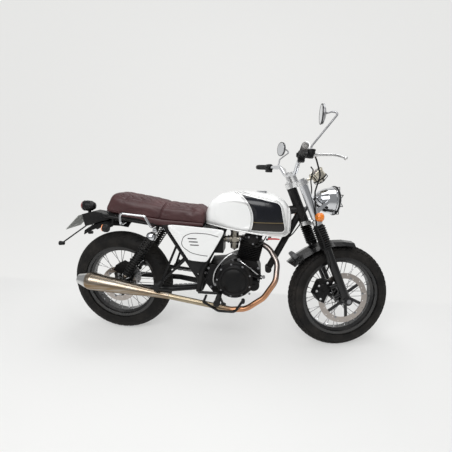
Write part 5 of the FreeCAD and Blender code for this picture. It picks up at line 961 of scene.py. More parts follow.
def applied(piece, name):
    # the mesh of a piece as its modifiers leave it
    depsgraph = bpy.context.evaluated_depsgraph_get()
    mesh = bpy.data.meshes.new_from_object(piece.evaluated_get(depsgraph))
    mesh.name = name
    piece.modifiers.clear()
    piece.data = mesh
    return mesh


def pointsOf(mesh, word="co"):
    # the places of a mesh's points, or their normals
    flat = np.empty(len(mesh.vertices) * 3, np.float32)
    mesh.vertices.foreach_get(word, flat)
    return flat.reshape(-1, 3).astype(float)


def setPoints(mesh, points):
    # the places of a mesh's points, changed
    mesh.vertices.foreach_set("co", points.astype(np.float32).ravel())
    mesh.update()


def swell(piece):
    # cloth with air in it and no gravity; a point may move no further than the cap
    sizes = seatSizes
    remesh = piece.modifiers.new("remesh", "REMESH")
    remesh.mode = "VOXEL"
    remesh.voxel_size = sizes["voxel"]
    start = pointsOf(applied(piece, "seat_start"))
    cloth = piece.modifiers.new("cloth", "CLOTH")
    cloth.settings.use_pressure = True
    cloth.settings.uniform_pressure_force = sizes["pressure"]
    cloth.settings.effector_weights.gravity = 0
    cloth.settings.quality = 4
    cloth.point_cache.frame_end = sizes["frames"]
    for step in range(1, sizes["frames"] + 1):
        bpy.context.scene.frame_set(step)
    applied(piece, "seat_swelled")
    bpy.context.scene.frame_set(1)
    moved = pointsOf(piece.data) - start
    far = np.linalg.norm(moved, axis=1, keepdims=True)
    setPoints(piece.data, start + moved * np.minimum(1, sizes["cap"] / np.maximum(far, 1e-9)))
    even = piece.modifiers.new("even", "SMOOTH")
    even.iterations = 4
    even.factor = 0.5
    finer = piece.modifiers.new("finer", "SUBSURF")
    finer.levels = finer.render_levels = 1
    return applied(piece, "seat_fine")


def channel(distance, depth, width):
    # how deep a sewn channel is, falling off as a bell to both sides
    return depth * np.exp(-(distance / width) ** 2)


def over(value, start, run):
    # 0 before a start, rising evenly to 1 over a run
    return np.clip((value - start) / run, 0, 1)


def sew(mesh):
    # the channels sink along the normals: diamonds on both tops, a border seam round them, the deep seam at
    # the step, and one along the foot of the sides
    sizes = seatSizes
    points, normals = pointsOf(mesh), pointsOf(mesh, "normal")
    x, y, z = backToBike(points).T
    up = normals @ bikeUp
    (topX, topZ), (footX, footZ) = sizes["step"]
    fromSeam = x - (footX + (z - footZ) * (topX - footX) / (topZ - footZ))
    onTop = over(up, 0.55, 0.25)
    edge = sizes["quiltHalf"] * np.interp(x, *sizes["quiltNarrow"])
    soft, (start, stop) = sizes["quiltSoft"], sizes["quiltEnds"]
    inside = over(edge, np.abs(y), soft) * onTop * over(np.abs(fromSeam), 2 * soft, soft)
    inside *= over(x, start, 0.01) * over(-x, -stop, 0.01)
    along, across = sizes["quilt"]
    first, second = (wave(fromSeam / along + sign * y / across) * along * sizes["quiltSlope"]
                     for sign in (1, -1))
    diamond, border, step, foot = sizes["seams"]
    puff = over(np.minimum(first, second), 0, sizes["puffWidth"]) * sizes["puff"]
    depth = (np.maximum(channel(first, *diamond), channel(second, *diamond)) - puff) * inside
    depth += channel(np.abs(y) - edge - sizes["borderOut"], *border) * onTop * over(x, 0.02, 0.02)
    depth += channel(fromSeam, *step) * over(up, -0.5, 0.3)
    depth += channel(z - railTop(x) - sizes["footSeam"], *foot) * over(-np.abs(up), -0.6, 0.2)
    points = points - normals * depth[:, None]
    # it never goes below the plate that it rests on
    low = np.maximum(0, railTop(x) + sizes["clear"] - backToBike(points)[:, 2])
    setPoints(mesh, points + low[:, None] * bikeUp)


def makeSeat():
    # the start, swelled and sewn, with its leather put back on the new mesh
    seat = makePiece("seat_cushion", [(onBike(seatStart()), False, True)], leather, replaces=["seat_pad"],
                     sharp=180)
    sew(swell(seat))
    seat.data.materials.clear()
    seat.data.materials.append(leather)
    smoothFaces(seat.data)
    print("seat sewn:", len(seat.data.polygons), "faces")


def eased(x, corners):
    # a value between corners, eased by a cosine so that it has no kinks
    index = np.clip(np.searchsorted(corners[:, 0], x) - 1, 0, len(corners) - 2)
    share = (x - corners[index, 0]) / (corners[index + 1, 0] - corners[index, 0])
    share = 0.5 - 0.5 * np.cos(np.clip(share, 0, 1) * np.pi)
    return corners[index, 1] + (corners[index + 1, 1] - corners[index, 1]) * share


def makeSeatHem():
    # a band on each side that hides the base plate and hangs lowest at the step, closed at both ends
    sizes = seatSizes
    foot = np.array(sizes["hem"])
    x = np.linspace(foot[0, 0], foot[-1, 0], 90)
    low, high = railTop(x) + eased(x, foot), railTop(x) + sizes["hemTop"]
    inner, outer = sizes["hemOut"]
    soft = sizes["hemSoft"]
    y = np.array([inner + soft, outer - soft, outer, outer, outer - soft, inner + soft, inner, inner])
    lift = np.array([0, 0, soft, -soft, 0, 0, -soft, soft])
    fromLow = np.array([1, 1, 1, 0, 0, 0, 0, 1])
    z = fromLow * low[:, None] + (1 - fromLow) * high[:, None] + lift
    surfaces = []
    for side in (-1, 1):
        grid = np.stack(np.broadcast_arrays(x[:, None], side * y, z), -1)
        middle = np.broadcast_to(grid.mean(1, keepdims=True), grid.shape)
        surfaces.append((onBike(np.concatenate([middle[:1], grid, middle[-1:]])), False, True))
    makePiece("seat_hem", surfaces, leather, sharp=50)


makeSeat()
makeSeatHem()


# engine: what stands out on its plain castings

engineSizes = {
    "coverCentre": (0.712, 0.408), "coverRadius": 0.102, "coverOut": 0.142,
    "domeRadius": 0.070, "domeRise": 0.016,
    "caseHalf": 0.092, "caseBolts": ((0.560, 0.455), (0.575, 0.340), (0.640, 0.310), (0.800, 0.312),
                                     (0.848, 0.400), (0.845, 0.470), (0.700, 0.508), (0.640, 0.478)),
    "ribs": ((0.062, 0.020, 0.150), (0.046, 0.050, 0.152)),      # each rib's height, start and end
    "filter": (0.822, -0.102, 0.372),
    "generatorCentre": (0.730, 0.408), "generatorRadius": 0.0796, "generatorOut": 0.1306,
    "barrelFoot": (0.782, 0.500), "barrelTilt": 12, "headBase": 0.082, "headHeight": 0.084, "headHalf": 0.062,
    "breather": ((0.715, -0.085, 0.545), (0.690, -0.098, 0.548), (0.645, -0.108, 0.510),
                 (0.606, -0.112, 0.455), (0.592, -0.110, 0.405), (0.594, -0.104, 0.372),
                 (0.600, -0.090, 0.360)),
    "oilLine": ((0.735, -0.112, 0.520), (0.770, -0.122, 0.498), (0.812, -0.122, 0.468),
                (0.850, -0.112, 0.436), (0.878, -0.085, 0.418)),
    "pipeJoints": ((0.878, -0.090, 0.418), (0.600, -0.094, 0.360), (0.735, -0.112, 0.520)),
    "carburettor": (0.700, 0, 0.612),
}


def ringOf(centre, radius, degrees, out):
    # points on a circle in a plane beside the engine
    turn = np.radians(degrees)
    x, z = centre
    return onBike([(x + radius * np.cos(t), out, z + radius * np.sin(t)) for t in turn])


def makeCovers():
    # the clutch cover's domed face and rolled rim, the generator cover's, two ribs that run off towards the
    # front, the oil filter's round cap, and the screws of them all
    sizes = engineSizes
    x, z = sizes["coverCentre"]
    r, out = sizes["coverRadius"], sizes["coverOut"]
    arc = np.radians(np.linspace(0, 90, 12))
    face = [(-0.012, 0), (-0.012, r + 0.0035), (-0.002, r + 0.0035), (0.003, r - 0.002), (0.004, r - 0.012),
            (0.0105, r * 0.84), (0.0145, r * 0.78), (0.0118, r * 0.73)]
    face += zip(0.0118 + sizes["domeRise"] * np.sin(arc), sizes["domeRadius"] * np.cos(arc) + 0.0005)
    face += [(0.0118 + sizes["domeRise"], 0)]
    gx, gz = sizes["generatorCentre"]
    gr, gout = sizes["generatorRadius"], sizes["generatorOut"]
    left = [(-0.008, 0), (-0.008, gr + 0.003), (0.002, gr + 0.003), (0.006, gr - 0.006), (0.006, gr * 0.8),
            (0.011, gr * 0.72), (0.012, gr * 0.3), (0.009, gr * 0.27), (0.009, 0)]
    surfaces = [lathe(face, onBike((x, -out, z)), bikeRight, 96),
                lathe(left, onBike((gx, gout, gz)), bikeLeft, 80)]
    for rise, start, stop in sizes["ribs"]:
        surfaces.append(pipe(onBike([(x + start, -out + 0.012, z + rise),
                                     (x + stop, -sizes["caseHalf"] - 0.018, z + rise - 0.038)]), 0.006, 10))
    cap = [(-0.03, 0), (-0.03, 0.034), (0.010, 0.034), (0.015, 0.030), (0.015, 0.012), (0.021, 0.010),
           (0.021, 0)]
    surfaces.append(lathe(cap, onBike(sizes["filter"]), bikeRight, 40))
    makePiece("engine_covers", surfaces, engineBlack)
    screws = ringOf((x, z), r * 0.925, np.arange(20, 380, 40), -out - 0.0035)
    leftScrews = ringOf((gx, gz), gr * 0.90, np.arange(30, 390, 60), gout + 0.0062)
    heads = [bolts(screws, bikeRight, 0.0042, 0.004), bolts(leftScrews, bikeLeft, 0.0040, 0.004)]
    for side in (-1, 1):
        spots = onBike([(a, side * (sizes["caseHalf"] + 0.001), c) for a, c in sizes["caseBolts"]])
        heads.append(bolts(spots, bikeLeft * side, 0.0050, 0.005))
    makePiece("engine_bolts", heads, zincSteel)


def onBarrel(along, across, rise):
    # barrel coordinates: ahead of its axis, to the left, and up from its foot along it
    tilt = math.radians(engineSizes["barrelTilt"])
    x, z = engineSizes["barrelFoot"]
    return onBike(np.stack([x + along * math.cos(tilt) + rise * math.sin(tilt), across,
                            z - along * math.sin(tilt) + rise * math.cos(tilt)], -1))


def makeHeadDetails():
    # cam end caps with their screws, rocker caps above, long studs through the fins, the plug's boot and lead
    sizes = engineSizes
    base, half, height = sizes["headBase"], sizes["headHalf"], sizes["headHeight"]
    tilt = math.radians(sizes["barrelTilt"])
    barrelUp = math.sin(tilt) * bikeAhead + math.cos(tilt) * bikeUp
    rise = base + height * 0.62
    cap = [(-0.01, 0), (-0.01, 0.034), (0.004, 0.034), (0.007, 0.031), (0.007, 0.022), (0.010, 0.020),
           (0.010, 0)]
    rocker = [(-0.004, 0), (-0.004, 0.017), (0.008, 0.017), (0.011, 0.013), (0.011, 0)]
    surfaces, studs = [], []
    for side in (-1, 1):
        surfaces.append(lathe(cap, onBarrel(0, side * half, rise), bikeLeft * side, 48))
        spots = [onBarrel(0.026 * math.cos(t), side * (half + 0.007), rise + 0.026 * math.sin(t))
                 for t in np.radians([45, 165, 285])]
        studs.append(bolts(spots, bikeLeft * side, 0.0046, 0.005))
    surfaces += [lathe(rocker, onBarrel(along, 0, base + height), barrelUp, 6) for along in (-0.024, 0.024)]
    makePiece("head_covers", surfaces, engineBlack)
    corners = [onBarrel(a, b, base + height * 0.55) for a in (-0.040, 0.040) for b in (-0.042, 0.042)]
    makePiece("head_bolts", studs + [bolts(corners, barrelUp, 0.0065, 0.009)], zincSteel)
    lead = [(0.020, -half - 0.004, 0.018), (0.030, -half - 0.030, 0.020), (0.052, -half - 0.034, 0.050),
            (0.070, -0.050, 0.095), (0.060, -0.030, 0.130)]
    boot = [(0.018, -half + 0.004, 0.017), (0.026, -half - 0.022, 0.019)]
    pipes = []
    for route, steps, radius, sides in ((lead, 10, 0.0032, 10), (boot, 4, 0.0085, 14)):
        pipes.append(pipe(smoothLine([onBarrel(a, b, base + c) for a, b, c in route], steps), radius, sides))
    makePiece("spark_lead", pipes, rubberBlack)


def makeEnginePipes():
    # the breather pipe behind the clutch cover, the oil line across the barrel's foot, and their joints
    sizes = engineSizes
    makePiece("engine_pipes", [pipe(smoothLine(onBike(sizes["breather"]), 8), 0.0058, 14),
                               pipe(smoothLine(onBike(sizes["oilLine"]), 8), 0.0036, 10)], polishedAlloy)
    joint = [(-0.006, 0), (-0.006, 0.009), (0.006, 0.009), (0.006, 0)]
    makePiece("pipe_joints", [lathe(joint, onBike(spot), bikeRight, 24) for spot in sizes["pipeJoints"]],
              zincSteel)


def makeCarburettorDetails():
    # the body's round cap, the float bowl with its drain, the side cover and the throttle's pulley, all
    # turned about an axis through the body, then the intake's clamps and their screws
    centre = onBike(engineSizes["carburettor"])
    cap = [(-0.002, 0), (-0.002, 0.027), (0.010, 0.027), (0.014, 0.022), (0.014, 0)]
    bowl = [(-0.004, 0), (-0.004, 0.0275), (0.004, 0.0275), (0.004, 0.025), (0.030, 0.024), (0.036, 0.018),
            (0.036, 0)]
    drain = [(0, 0), (0, 0.007), (0.012, 0.006), (0.012, 0)]
    cover = [(0, 0), (0, 0.017), (0.030, 0.017), (0.034, 0.013), (0.034, 0)]
    pulley = [(0.034, 0), (0.034, 0.016), (0.036, 0.016), (0.038, 0.012), (0.041, 0.012), (0.043, 0.016),
              (0.045, 0.016), (0.045, 0)]
    makePiece("carburettor_body", [lathe(cap, centre + bikeUp * 0.052, bikeUp, 36),
                                   lathe(bowl, centre - bikeUp * 0.020, -bikeUp, 36),
                                   lathe(drain, centre - bikeUp * 0.054, -bikeUp, 6),
                                   lathe(cover, centre, bikeRight, 32),
                                   lathe(pulley, centre + bikeAhead * 0.004 + bikeUp * 0.006, bikeRight, 36)],
              dullAlloy)
    clamp = [(-0.004, 0.0185), (-0.004, 0.0235), (0.004, 0.0235), (0.004, 0.0185)]
    clamps = [lathe(clamp, centre + bikeAhead * shift, bikeAhead, 40, True) for shift in (-0.036, 0.036)]
    screws = [centre + bikeAhead * a + bikeUp * b + bikeRight * 0.024
              for a in (-0.016, 0.016) for b in (-0.022, 0.046)]
    makePiece("intake_clamps", clamps + [bolts(screws, bikeRight, 0.003, 0.004)], zincSteel)


makeCovers()
makeHeadDetails()
makeEnginePipes()
makeCarburettorDetails()
print("engine dressed")


# side panels, mudguards, lamps and the other trim

panelSizes = {
    "out": 0.142, "wall": 0.012, "slotCorner": (0.449, 0.638), "slotLength": 0.052, "slotHeight": 0.0062,
    "slotStep": (0.0063, -0.018), "slots": 3,
    "line": ((0.172, 0.016), (0.118, 0.029), (0.070, 0.032), (0.030, 0.031), (0.004, 0.024), (-0.020, 0.010),
             (-0.030, -0.010), (-0.034, -0.030), (-0.025, -0.050), (0.0, -0.069), (0.024, -0.082),
             (0.068, -0.092), (0.112, -0.096)),
    "lineRadius": 0.0019,
    "skin": ((0.331, 0.703), (0.350, 0.713), (0.642, 0.695), (0.655, 0.680), (0.561, 0.512), (0.546, 0.505),
             (0.460, 0.511), (0.445, 0.523)),
    "cover": ((0.432, 0.512), (0.566, 0.522), (0.512, 0.430), (0.490, 0.418), (0.468, 0.432)),
    "coverOut": 0.112, "coverWall": 0.008,
}


def makePanelTrim():
    # each side panel, the dark line round its slots, their black grilles, and the black cover below it
    sizes = panelSizes
    x, z = sizes["slotCorner"]
    out, wall, length = sizes["out"], sizes["wall"], sizes["slotLength"]
    lines, covers, skins = [], [], []
    for side in (-1, 1):
        outward = bikeLeft * side
        skins.append(plate(smoothClosed(sizes["skin"]), onBike((0, side * (out - wall / 2), 0)), bikeAhead,
                           bikeUp, outward, wall))
        route = onBike([(x + a, side * (out - 0.0002), z + b) for a, b in sizes["line"]])
        lines.append(pipe(smoothLine(route, 6), sizes["lineRadius"], 8))
        for index in range(sizes["slots"]):
            stepX, stepZ = sizes["slotStep"]
            centre = onBike((x + index * stepX + length / 2, side * (out - 0.0014), z + index * stepZ))
            lines.append(block(centre, bikeAhead * length / 2, bikeUp * sizes["slotHeight"] / 2,
                               bikeLeft * 0.0020, 0.3, 20))
        covers.append(plate(smoothClosed(sizes["cover"]), onBike((0, side * sizes["coverOut"], 0)), bikeAhead,
                            bikeUp, outward, sizes["coverWall"]))
    makePiece("panel_skins", skins, white, replaces=["side_panels"])
    makePiece("panel_lines", lines, darkTrim)
    makePiece("panel_lower_covers", covers, plasticBlack)


guardBlock = {"place": (1.040, 0, 0.536), "half": (0.013, 0.034, 0.021), "tilt": 38}


def makeMudguardBlock():
    # a grey moulded block under the front mudguard's rear end, square to its slope
    tilt = math.radians(guardBlock["tilt"])
    along = forkAhead * math.sin(tilt) * -1 + forkUp * math.cos(tilt)
    outward = forkAhead * -math.cos(tilt) - forkUp * math.sin(tilt)
    a, b, c = guardBlock["half"]
    centre = onFork(guardBlock["place"])
    makePiece("mudguard_block", [block(centre, outward * a, forkLeft * b, along * c, 0.3, 32)], greyPlastic,
              "steering")


lampSizes = {
    "out": 0.205, "rise": 0.842, "radius": 0.080,
    "clockOut": 0.170, "clockRise": 1.006, "clockRadius": 0.038, "clockDepth": 0.058, "clockTilt": 40,
    "ticks": 27, "sweep": 130, "tickHalf": 0.0004, "needle": -118, "numberSize": 0.0062,
    "numbers": ("0", "2", "4", "6", "8", "10", "12"),
}


def makeLamp():
    # the headlight's rim, its bowl as a parabola turned about the lamp's axis, and a bulb
    sizes = lampSizes
    face = alongFork(sizes["out"], 0, sizes["rise"])
    r = sizes["radius"]
    share = np.linspace(0.18, 1, 16)
    bowl = np.stack([-0.058 + 0.052 * share ** 2, (r - 0.006) * share], -1)
    shape = np.concatenate([[(-0.0565, 0)], bowl, bowl[::-1] - (0.0015, 0), [(-0.0615, 0)]])
    makePiece("headlight_rim", [bead(face, forkAhead, 0.0015, r - 0.001, (0.0045, 0.0030), 14, 96)],
              brightChrome, "steering")
    makePiece("headlight_reflector", [lathe(shape, face, forkAhead, 72)], brightChrome, "steering")
    arc = np.radians(np.linspace(0, 90, 8))
    bulb = [(-0.056, 0), (-0.056, 0.007), (-0.036, 0.007)]
    bulb += zip(-0.036 + 0.009 * np.sin(arc), 0.008 * np.cos(arc))
    makePiece("headlight_bulb", [lathe(bulb, face, forkAhead, 24)], bulbGlass, "steering")


def makeClock():
    # the clock's dial with ticks and plain numbers set at their angles, a needle, a turned rim and a glass
    sizes = lampSizes
    tilt = math.radians(sizes["clockTilt"])
    facing = -math.sin(tilt) * forkAhead + math.cos(tilt) * forkUp
    dialUp = np.cross(forkLeft, facing) * -1
    r = sizes["clockRadius"]
    face = alongFork(sizes["clockOut"], 0, sizes["clockRise"]) + facing * sizes["clockDepth"] / 2

    def atAngle(degrees):
        # the way from the dial's middle, by the angle on from its top
        return math.sin(math.radians(degrees)) * -forkLeft + math.cos(math.radians(degrees)) * dialUp

    dial = [(-0.003, 0), (-0.003, r), (0.0006, r), (0.0006, 0)]
    makePiece("clock_dial", [lathe(dial, face, facing, 64)], darkTrim, "steering")
    ticks = []
    for index, degrees in enumerate(np.linspace(-sizes["sweep"], sizes["sweep"], sizes["ticks"])):
        out, reach = atAngle(degrees), 0.0020 if index % 2 else 0.0035
        ticks.append(block(face + facing * 0.0010 + out * (r * 0.90 - reach / 2), out * reach,
                           np.cross(facing, out) * sizes["tickHalf"], facing * sizes["tickHalf"], 0.2, 8))
    makePiece("clock_ticks", ticks, paleTrim, "steering")
    needle = atAngle(sizes["needle"])
    hub = [(0, 0), (0, 0.0042), (0.003, 0.0036), (0.003, 0)]
    line = [face + facing * 0.0022 - needle * 0.006, face + facing * 0.0022 + needle * r * 0.78]
    makePiece("clock_needle", [pipe(line, 0.0007, 8), lathe(hub, face + facing * 0.0008, facing, 20)],
              redPaint, "steering")
    makePiece("clock_rim", [bead(face, facing, 0.001, r * 1.06, (0.0045, 0.0028))], warmChrome, "steering")
    cover = [(0.004, r), (0.0055, r * 0.98), (0.0075, r * 0.6), (0.0082, 0), (0.0068, 0), (0.0062, r * 0.6),
             (0.0044, r * 0.95), (0.003, r)]
    makePiece("clock_glass", [lathe(cover, face, facing, 48)], glass, "steering")
    for index, word in enumerate(sizes["numbers"]):
        spot = face + facing * 0.0008 + atAngle(-120 + 40 * index) * r * 0.66
        writeOn(f"clock_number_{word}", word, spot, (-forkLeft, dialUp, facing), sizes["numberSize"])


def writeOn(name, word, spot, axes, size):
    # a plain number, made a mesh before its place is applied
    curve = bpy.data.curves.new(name, "FONT")
    curve.body = word
    curve.size = size
    curve.align_x, curve.align_y = "CENTER", "CENTER"
    curve.extrude = size * 0.03
    carrier = linked(name, curve)
    mesh = bpy.data.meshes.new_from_object(carrier.evaluated_get(bpy.context.evaluated_depsgraph_get()))
    bpy.data.objects.remove(carrier)
    setPoints(mesh, spot + pointsOf(mesh) @ np.array(axes))
    finishPiece(linked(name, mesh), paleTrim, "steering")


mirrorSizes = {
    "reach": {-1: (0.42 * 0.095, 0.42 * 0.062, 0.98 * 0.190), 1: (0.45 * 0.086, 0.75 * 0.062, 0.126)},
    "toe": 14, "radius": 0.044, "thickness": 0.010,
}


def makeMirrorGlass(feet):
    # the silvered face of each mirror and the rubber edge round it, square to the way that the mirror faces
    sizes = mirrorSizes
    toe = math.radians(sizes["toe"])
    r, t = sizes["radius"], sizes["thickness"]
    face = [(t - 0.0005, 0), (t - 0.0005, r - 0.002), (t + 0.0008, r - 0.003), (t + 0.0012, 0)]
    faces, edges = [], []
    for side, foot in feet.items():
        reach, out, high = sizes["reach"][side]
        middle = foot + np.array([reach, side * out, high]) @ forkAxes
        facing = np.array([-math.cos(toe), -side * math.sin(toe), 0]) @ forkAxes
        faces.append(lathe(face, middle, facing, 64))
        edges.append(bead(middle, facing, t - 0.001, r - 0.0006, (0.0026, 0.0020)))
    makePiece("mirror_glass", faces, brightChrome, "steering")
    makePiece("mirror_edges", edges, rubberBlack, "steering")


tailSizes = {
    "lamp": (-0.205, 0, 0.784), "lampRadius": 0.033,
    "reflector": (-0.300, 0.150, 0.580), "reflectorRadius": 0.013,
    "indicator": (-0.014, 0.167, 0.684), "indicatorRadius": 0.023,
}


def bothSides(place):
    # a place on the bike's left and its mirror image, each with its side's sign
    return [(side, onBike(np.array(place) * [1, side, 1])) for side in (-1, 1)]


def makeLenses():
    # red lenses on the tail lamp and the reflectors, amber ones in the rear indicators, each a shallow dome
    sizes = tailSizes
    r, s, i = sizes["lampRadius"], sizes["reflectorRadius"], sizes["indicatorRadius"]
    lamp = onBike(sizes["lamp"])
    dome = [(0.029, 0), (0.029, r * 0.925), (0.036, r * 0.84), (0.0438, r * 0.60), (0.0450, 0)]
    small = [(0.010, 0), (0.010, s * 0.90), (0.0138, s * 0.88), (0.0152, s * 0.5), (0.0156, 0)]
    shallow = [(0.014, 0), (0.014, i * 0.80), (0.0175, i * 0.84), (0.0205, i * 0.6), (0.0215, 0)]
    reds = [lathe(small, place, -bikeAhead, 32) for side, place in bothSides(sizes["reflector"])]
    makePiece("red_lenses", [lathe(dome, lamp, -bikeAhead, 48)] + reds, redLens)
    makePiece("rear_indicator_lenses", [lathe(shallow, place, -bikeAhead, 32)
                                        for side, place in bothSides(sizes["indicator"])], amber)
    makePiece("tail_lamp_rim", [bead(lamp, -bikeAhead, 0.028, r * 0.93, (0.0018, 0.0014), 12, 48)], darkSteel)


shockSizes = {
    "low": (0.045, 0.128, 0.352), "high": (0.262, 0.128, 0.676), "coils": 17, "from": 0.165, "to": 0.86,
    "coilRadius": 0.0247, "wire": 0.0040, "nutOut": 0.1415,
}


def makeShocks():
    # the spring is a circle carried up the damper, a turn for each coil; inside it a rod and a body, seats at
    # its two ends, eyes, and domed nuts on the pins
    sizes = shockSizes
    springs, bodies, seats, eyes, nuts = [], [], [], [], []
    eye = [(-0.012, 0.0075), (-0.012, 0.0140), (-0.010, 0.0150), (0.010, 0.0150), (0.012, 0.0140),
           (0.012, 0.0075)]
    nut = [(0, 0), (0, 0.0125), (0.002, 0.0125), (0.002, 0.0095), (0.009, 0.0095), (0.0125, 0.0062),
           (0.0135, 0)]
    for (side, low), (side, high) in zip(bothSides(sizes["low"]), bothSides(sizes["high"])):
        up = unit(high - low)
        length = np.linalg.norm(high - low)
        share = np.linspace(0, 1, sizes["coils"] * 24 + 1)
        turn = (share * 2 * np.pi * sizes["coils"])[:, None]
        first, second = squareTo(up)
        flat = np.clip((np.minimum(share, 1 - share)) * 12, 0, 1)
        climb = length * (sizes["from"] + (sizes["to"] - sizes["from"]) * share)
        circle = (first * np.cos(turn) + second * np.sin(turn)) * sizes["coilRadius"]
        line = low + up * climb[:, None] + circle
        springs.append(pipe(line, sizes["wire"] * (0.8 + 0.2 * flat), 10))
        body = [(0, 0), (0, 0.011), (0.10, 0.0125), (0.13, 0.0195), (0.62, 0.0195), (0.63, 0.0105),
                (0.90, 0.0105), (1, 0.009), (1, 0)]
        bodies.append(lathe([(a * length, b) for a, b in body], low, up, 28))
        lower = [(0.115, 0.012), (0.115, 0.0245), (0.135, 0.0275), (0.150, 0.0285), (0.157, 0.0285),
                 (0.157, 0.012)]
        upper = [(0.86, 0.012), (0.86, 0.0288), (0.885, 0.0290), (0.90, 0.0270), (0.935, 0.0175),
                 (0.935, 0.012)]
        seats += [lathe([(a * length, b) for a, b in seat], low, up, 40, True) for seat in (lower, upper)]
        eyes += [lathe(eye, place, bikeLeft, 32, True) for place in (low, high)]
        nuts += [lathe(nut, onBike((x, side * sizes["nutOut"], z)), bikeLeft * side, 24)
                 for x, y, z in (sizes["low"], sizes["high"])]
    makePiece("shock_springs", springs, satinBlack, replaces=["rear_shocks"], sharp=60)
    makePiece("shock_bodies", bodies, darkSteel)
    makePiece("shock_seats", seats, brightChrome)
    makePiece("shock_eyes", eyes, engineBlack)
    makePiece("shock_nuts", nuts, brightChrome)


tapSizes = {
    "lever": ((0.888, -0.098, 0.641), (0.905, -0.099, 0.645), (0.930, -0.099, 0.646), (0.954, -0.098, 0.645)),
    "thick": (0.0036, 0.0052, 0.0048, 0.0038), "knob": 0.0066, "body": (0.902, -0.088, 0.641),
}


def makeFuelTap():
    # the fuel tap under the tank's lip: a turned body, a red lever and its dark knob
    sizes = tapSizes
    line = smoothLine(onBike(sizes["lever"]), 5)
    thick = np.interp(np.linspace(0, 3, len(line)), range(4), sizes["thick"])
    makePiece("fuel_tap_lever", [pipe(line, thick, 12)], redPaint)
    tap = [(0, 0), (0, 0.0065), (0.004, 0.0085), (0.014, 0.0085), (0.016, 0.0065), (0.026, 0.0065),
           (0.026, 0)]
    makePiece("fuel_tap", [lathe(tap, onBike(sizes["body"]), bikeUp, 24)], dullAlloy)
    makePiece("fuel_tap_knob", [ball(sizes["knob"], line[0], bikeAhead, 10)], rubberBlack)


caliperSizes = {
    "hub": (1.320, 0.301), "radius": 0.149, "out": 0.092, "angle": 158,
    "piston": 0.022, "pistonRadius": 0.0185, "boltAcross": 0.049, "boltRadius": 0.0052,
}


def makeCaliperTrim():
    # on the front caliper's outer face: two round piston covers, a rib between them and four silver bolts
    sizes = caliperSizes
    turn = math.radians(sizes["angle"])
    outward = np.array([math.cos(turn), 0, math.sin(turn)])
    along = np.array([-outward[2], 0, outward[0]])
    x, z = sizes["hub"]
    middle = np.array([x, -sizes["out"], z]) + outward * sizes["radius"]
    r, across = sizes["pistonRadius"], sizes["boltAcross"]
    cover = [(-0.004, 0), (-0.004, r), (0.0045, r), (0.0070, r * 0.86), (0.0072, r * 0.62),
             (0.0058, r * 0.56), (0.0058, 0)]
    covers = [lathe(cover, onFork(middle + along * sizes["piston"] * step), -forkLeft, 36)
              for step in (-1, 1)]
    rib = block(onFork(middle + outward * 0.018), along @ forkAxes * 0.036, outward @ forkAxes * 0.006,
                -forkLeft * 0.005, 0.3)
    makePiece("caliper_covers", covers + [rib], engineBlack, "steering")
    spots = [onFork(middle + along * step + outward * lift)
             for step, lift in ((-across, -0.012), (across, -0.012), (-0.016, 0.027), (0.016, 0.027))]
    makePiece("caliper_bolts", [bolts(spots, -forkLeft, sizes["boltRadius"], 0.005)], polishedAlloy,
              "steering")


pegSizes = {
    "pegs": ((0.632, 0.316, 0.166, 0.256), (0.292, 0.372, 0.156, 0.236)),
    "radius": 0.0158, "ribs": 9, "rib": 0.0022, "flange": 0.0030,
}


def makePegRubbers():
    # a ribbed sleeve on each peg, a raised ring for each rib, with a flange at its outer end
    sizes = pegSizes
    r, wide = sizes["radius"], sizes["radius"] + sizes["flange"]
    surfaces = []
    for x, z, inner, outer in sizes["pegs"]:
        length = outer - inner
        share = np.linspace(0, 1, sizes["ribs"] * 8 + 1)
        ripple = np.abs(np.cos(share * np.pi * sizes["ribs"])) ** 0.6
        body = np.stack([share * (length - 0.008), r - sizes["rib"] * ripple], -1)
        end = [(length - 0.008, wide), (length - 0.001, wide), (length + 0.001, r), (length + 0.001, 0)]
        profile = np.concatenate([[(0, 0)], body, end])
        surfaces += [lathe(profile, foot, bikeLeft * side, 28) for side, foot in bothSides((x, inner, z))]
    makePiece("peg_rubbers", surfaces, rubberBlack)


makePanelTrim()
makeMudguardBlock()
makeLamp()
makeClock()
makeLenses()
makeShocks()
makeFuelTap()
makeCaliperTrim()
makePegRubbers()
print("trim made")


# what the hands hold, the mirrors and the gaiters

barSizes = {
    "centre": (1.0019, 0.9937), "half": 0.428, "sweep": 0.082, "rise": 0.082, "bend": (0.62, 0.45, 0.80),
    "gripLength": 0.122, "gripRadius": 0.0162, "gripBore": 0.0112, "gripRibs": 20, "ribHeight": 0.055,
    "switchLength": 0.042, "leverReach": 0.046, "lever": (0.100, 0.135, 0.022), "ball": 0.0082,
    "leverShares": ((0.0, 0.0, 0.0), (0.13, 0.05, -0.16), (0.30, 0.18, -0.25), (0.52, 0.38, -0.12),
                    (0.75, 0.62, 0.10), (0.90, 0.84, 0.55), (1.0, 1.0, 1.0)),
    "leverThick": ((0, 0.12, 0.5, 0.9, 1.0), (0.0085, 0.0072, 0.0058, 0.0046, 0.0050)),
}


def barPoint(side, across, back, rise):
    # a place on the handlebar, by shares of its half width, its sweep back and its rise
    sizes = barSizes
    x, z = sizes["centre"]
    return onFork((x - back * sizes["sweep"], side * across * sizes["half"], z + rise * sizes["rise"]))


